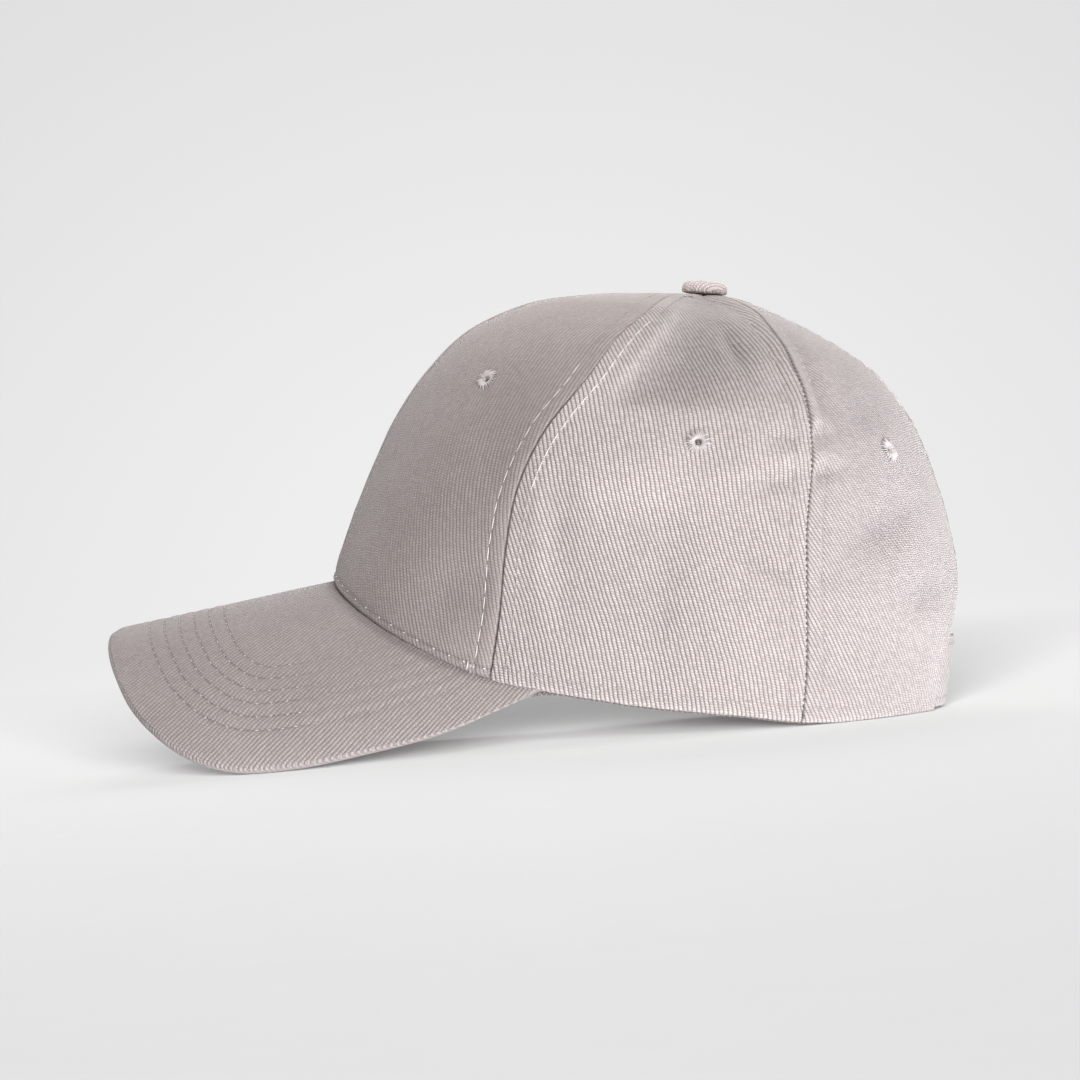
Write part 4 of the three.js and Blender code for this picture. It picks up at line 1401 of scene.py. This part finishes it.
# The lamps that throw the soft shadow: azimuth and elevation in degrees, distance, width and
# height in m, watts. The lowest shines in under the rim, the last one stands behind the cap.
SHADOW_LAMPS = [(0, 1.4, 2.4, 0.7, 0.24, 1050), (0, 8, 2.4, 0.7, 0.4, 260),
                (180, 28, 2.4, 1.2, 1.2, 36)]
LAMP_AIM = (0.0, 0.0, 0.07)


def lamp_place(azimuth, elevation, distance):
    turn, rise = np.radians(azimuth), np.radians(elevation)
    away = Vector((np.cos(rise) * np.cos(turn), np.cos(rise) * np.sin(turn), np.sin(rise)))
    return Vector(LAMP_AIM) + away * distance, away


def paper_material():
    material, tree, shader = new_material("pale_paper")
    place = add_node(tree, "TexCoord").outputs["Object"]

    def vector(operation, first, second, output="Vector"):
        node = add_node(tree, "VectorMath", {0: first, 1: second}, operation=operation)
        return node.outputs[output]

    def ramp(value, start, stop, first, last, smooth=False):
        kind = "SMOOTHSTEP" if smooth else "LINEAR"
        return add_node(tree, "MapRange", {"Value": value, "From Min": start, "From Max": stop,
                                           "To Min": first, "To Max": last},
                        interpolation_type=kind).outputs[0]

    # painted light: a long pool of glow on the paper, brightest along its middle and behind the
    # cap
    off_middle = vector("LENGTH", vector("MULTIPLY", place, (0, POOL_FLATNESS, 1)), (0, 0, 0),
                        "Value")
    ahead = add_node(tree, "SeparateXYZ", {0: place}).outputs[0]
    glow = ramp(off_middle, 0.0, POOL_REACH, PAPER_CENTRE, PAPER_RIM)
    glow = sum_of(tree, "MULTIPLY", glow, ramp(ahead, -0.5, 1.3, 1.0, NEAR_SHARE, True))
    glow = sum_of(tree, "MULTIPLY", glow, ramp(ahead, 1.0, 1.5, 1.0, FRONT_SHARE, True))
    # painted light too: the glow is dimmer all round, the more the farther a place is turned from
    # the paper's back
    towards = vector("NORMALIZE", place, (0, 0, 0))
    from_back = vector("DISTANCE", towards, (-1.0, 0.0, 0.0), "Value")
    aside = sum_of(tree, "MULTIPLY", ramp(from_back, *FROM_BACK, 0.0, 1.0, True),
                   ramp(off_middle, *OFF_MIDDLE, 0.0, 1.0, True))
    aside = sum_of(tree, "MULTIPLY_ADD", aside, SIDE_SHARE - 1, 1.0)
    glow = sum_of(tree, "MULTIPLY", glow, aside)
    # near the cap a lamp lights the paper, and the glow gives way by as much as it adds
    near = ramp(vector("LENGTH", place, (0, 0, 0), "Value"), *NEAR_CAP, 1.0, 0.0, True)
    lit = BOWL_LIGHT
    for azimuth, elevation, distance, _, _, power in SHADOW_LAMPS:
        spot, away = lamp_place(azimuth, elevation, distance)
        beam = vector("SUBTRACT", place, spot)
        far = vector("LENGTH", beam, (0, 0, 0), "Value")
        along = vector("DOT_PRODUCT", beam, -away, "Value")
        square = sum_of(tree, "MULTIPLY", far, far)
        fall = sum_of(tree, "DIVIDE", along, sum_of(tree, "MULTIPLY", square, square))
        lit = sum_of(tree, "MULTIPLY_ADD", fall, power * spot.z / np.pi ** 2, lit)
    share = sum_of(tree, "MULTIPLY", near, SHADOW_DEPTH)
    albedo = sum_of(tree, "DIVIDE", sum_of(tree, "MULTIPLY", glow, share), lit)
    albedo = sum_of(tree, "MINIMUM", albedo, PAPER_ALBEDO)
    lit = sum_of(tree, "MULTIPLY", lit, albedo)
    glow = sum_of(tree, "MAXIMUM", sum_of(tree, "SUBTRACT", glow, lit), 0.0)
    grain = add_node(tree, "TexNoise", {"Vector": place, "Scale": 60.0, "Detail": 3.0})
    tone = sum_of(tree, "MULTIPLY", albedo, ramp(grain.outputs[0], 0, 1, 0.985, 1.015))
    colour = add_node(tree, "CombineColor", {0: tone, 1: tone, 2: tone}).outputs[0]
    tree.links.new(colour, shader.inputs["Base Color"])
    shader.inputs["Roughness"].default_value = 1.0
    shader.inputs["Specular IOR Level"].default_value = 0.0
    shader.inputs["Emission Color"].default_value = (1.0, 1.0, 1.0, 1)
    tree.links.new(glow, shader.inputs["Emission Strength"])
    return material


def add_sweep():
    corner = [(BOWL_FLOOR + BOWL_CORNER * np.sin(a), BOWL_CORNER * (1 - np.cos(a)))
              for a in np.radians(np.linspace(0, 90, 13))]
    wall = [(BOWL_FLOOR + BOWL_CORNER, BOWL_HEIGHT)]
    profile = [(0, 0), (0.5, 0), (1.2, 0)] + corner + wall
    bm = bmesh.new()
    verts = [bm.verts.new((r, 0, z - 0.0002)) for r, z in profile]
    edges = [bm.edges.new(pair) for pair in zip(verts, verts[1:])]
    bmesh.ops.spin(bm, geom=verts + edges, axis=(0, 0, 1), cent=(0, 0, 0),
                   angle=2 * np.pi, steps=96, use_merge=True)
    bmesh.ops.remove_doubles(bm, verts=bm.verts, dist=1e-5)
    bmesh.ops.recalc_face_normals(bm, faces=bm.faces)
    mesh = bpy.data.meshes.new("paper_sweep")
    bm.to_mesh(mesh)
    bm.free()
    mesh.polygons.foreach_set("use_smooth", [True] * len(mesh.polygons))
    mesh.materials.append(paper_material())
    sweep = bpy.data.objects.new("paper_sweep", mesh)
    scene.collection.objects.link(sweep)
    return sweep


def add_lamp(name, azimuth, elevation, distance, width, height, power, colour, lit):
    """A soft lamp that lights only the cap, or only the paper."""
    place, away = lamp_place(azimuth, elevation, distance)
    lamp = bpy.data.lights.new(name, "AREA")
    lamp.shape, lamp.size, lamp.size_y = "RECTANGLE", width, height
    lamp.energy, lamp.color = power, colour
    holder = bpy.data.objects.new(name, lamp)
    scene.collection.objects.link(holder)
    turned_to = away.to_track_quat("Z", "Y").to_matrix().to_4x4()
    holder.matrix_world = Matrix.Translation(place) @ turned_to
    holder.light_linking.receiver_collection = lit
    holder.visible_camera = False
    if lit is NOT_PAPER:
        holder.light_linking.blocker_collection = NOT_PAPER
    print(name, power, "W at", tuple(round(c, 2) for c in holder.matrix_world.translation))


def light_the_air(strength):
    world = bpy.data.worlds.new("studio_air")
    world.use_nodes = True
    air = world.node_tree.nodes["Background"]
    air.inputs["Color"].default_value = (1.0, 0.985, 0.98, 1)
    air.inputs["Strength"].default_value = strength
    scene.world = world


sweep = add_sweep()
NOT_PAPER = bpy.data.collections.new("all_but_the_paper")
NOT_PAPER.objects.link(sweep)
NOT_PAPER.collection_objects[0].light_linking.link_state = "EXCLUDE"
ONLY_PAPER = bpy.data.collections.new("only_the_paper")
ONLY_PAPER.objects.link(sweep)

# Lamp, azimuth from +X to +Y and elevation in degrees, distance and size in metres, watts
CAP_LAMPS = [
    ("bounce_low", 38, -42, 1.5, 0.7, 27.5, (0.975, 0.99, 1.03)),
    ("top_rear", 200, 60, 1.8, 0.9, 11, (1.0, 0.99, 0.98)),
    ("rear_low", 166, 18, 1.8, 0.9, 32, (1.0, 0.99, 0.98)),
    ("front_high", 15, 35, 1.6, 0.9, 24, (1.0, 0.985, 0.985)),
]
for name, azimuth, elevation, distance, size, power, colour in CAP_LAMPS:
    add_lamp(name, azimuth, elevation, distance, size, size, power, colour, NOT_PAPER)
for number, settings in enumerate(SHADOW_LAMPS, 1):
    add_lamp(f"shadow_caster_{number}", *settings, (1, 1, 1), ONLY_PAPER)
light_the_air(AIR)
scene.view_settings.view_transform = "Standard"
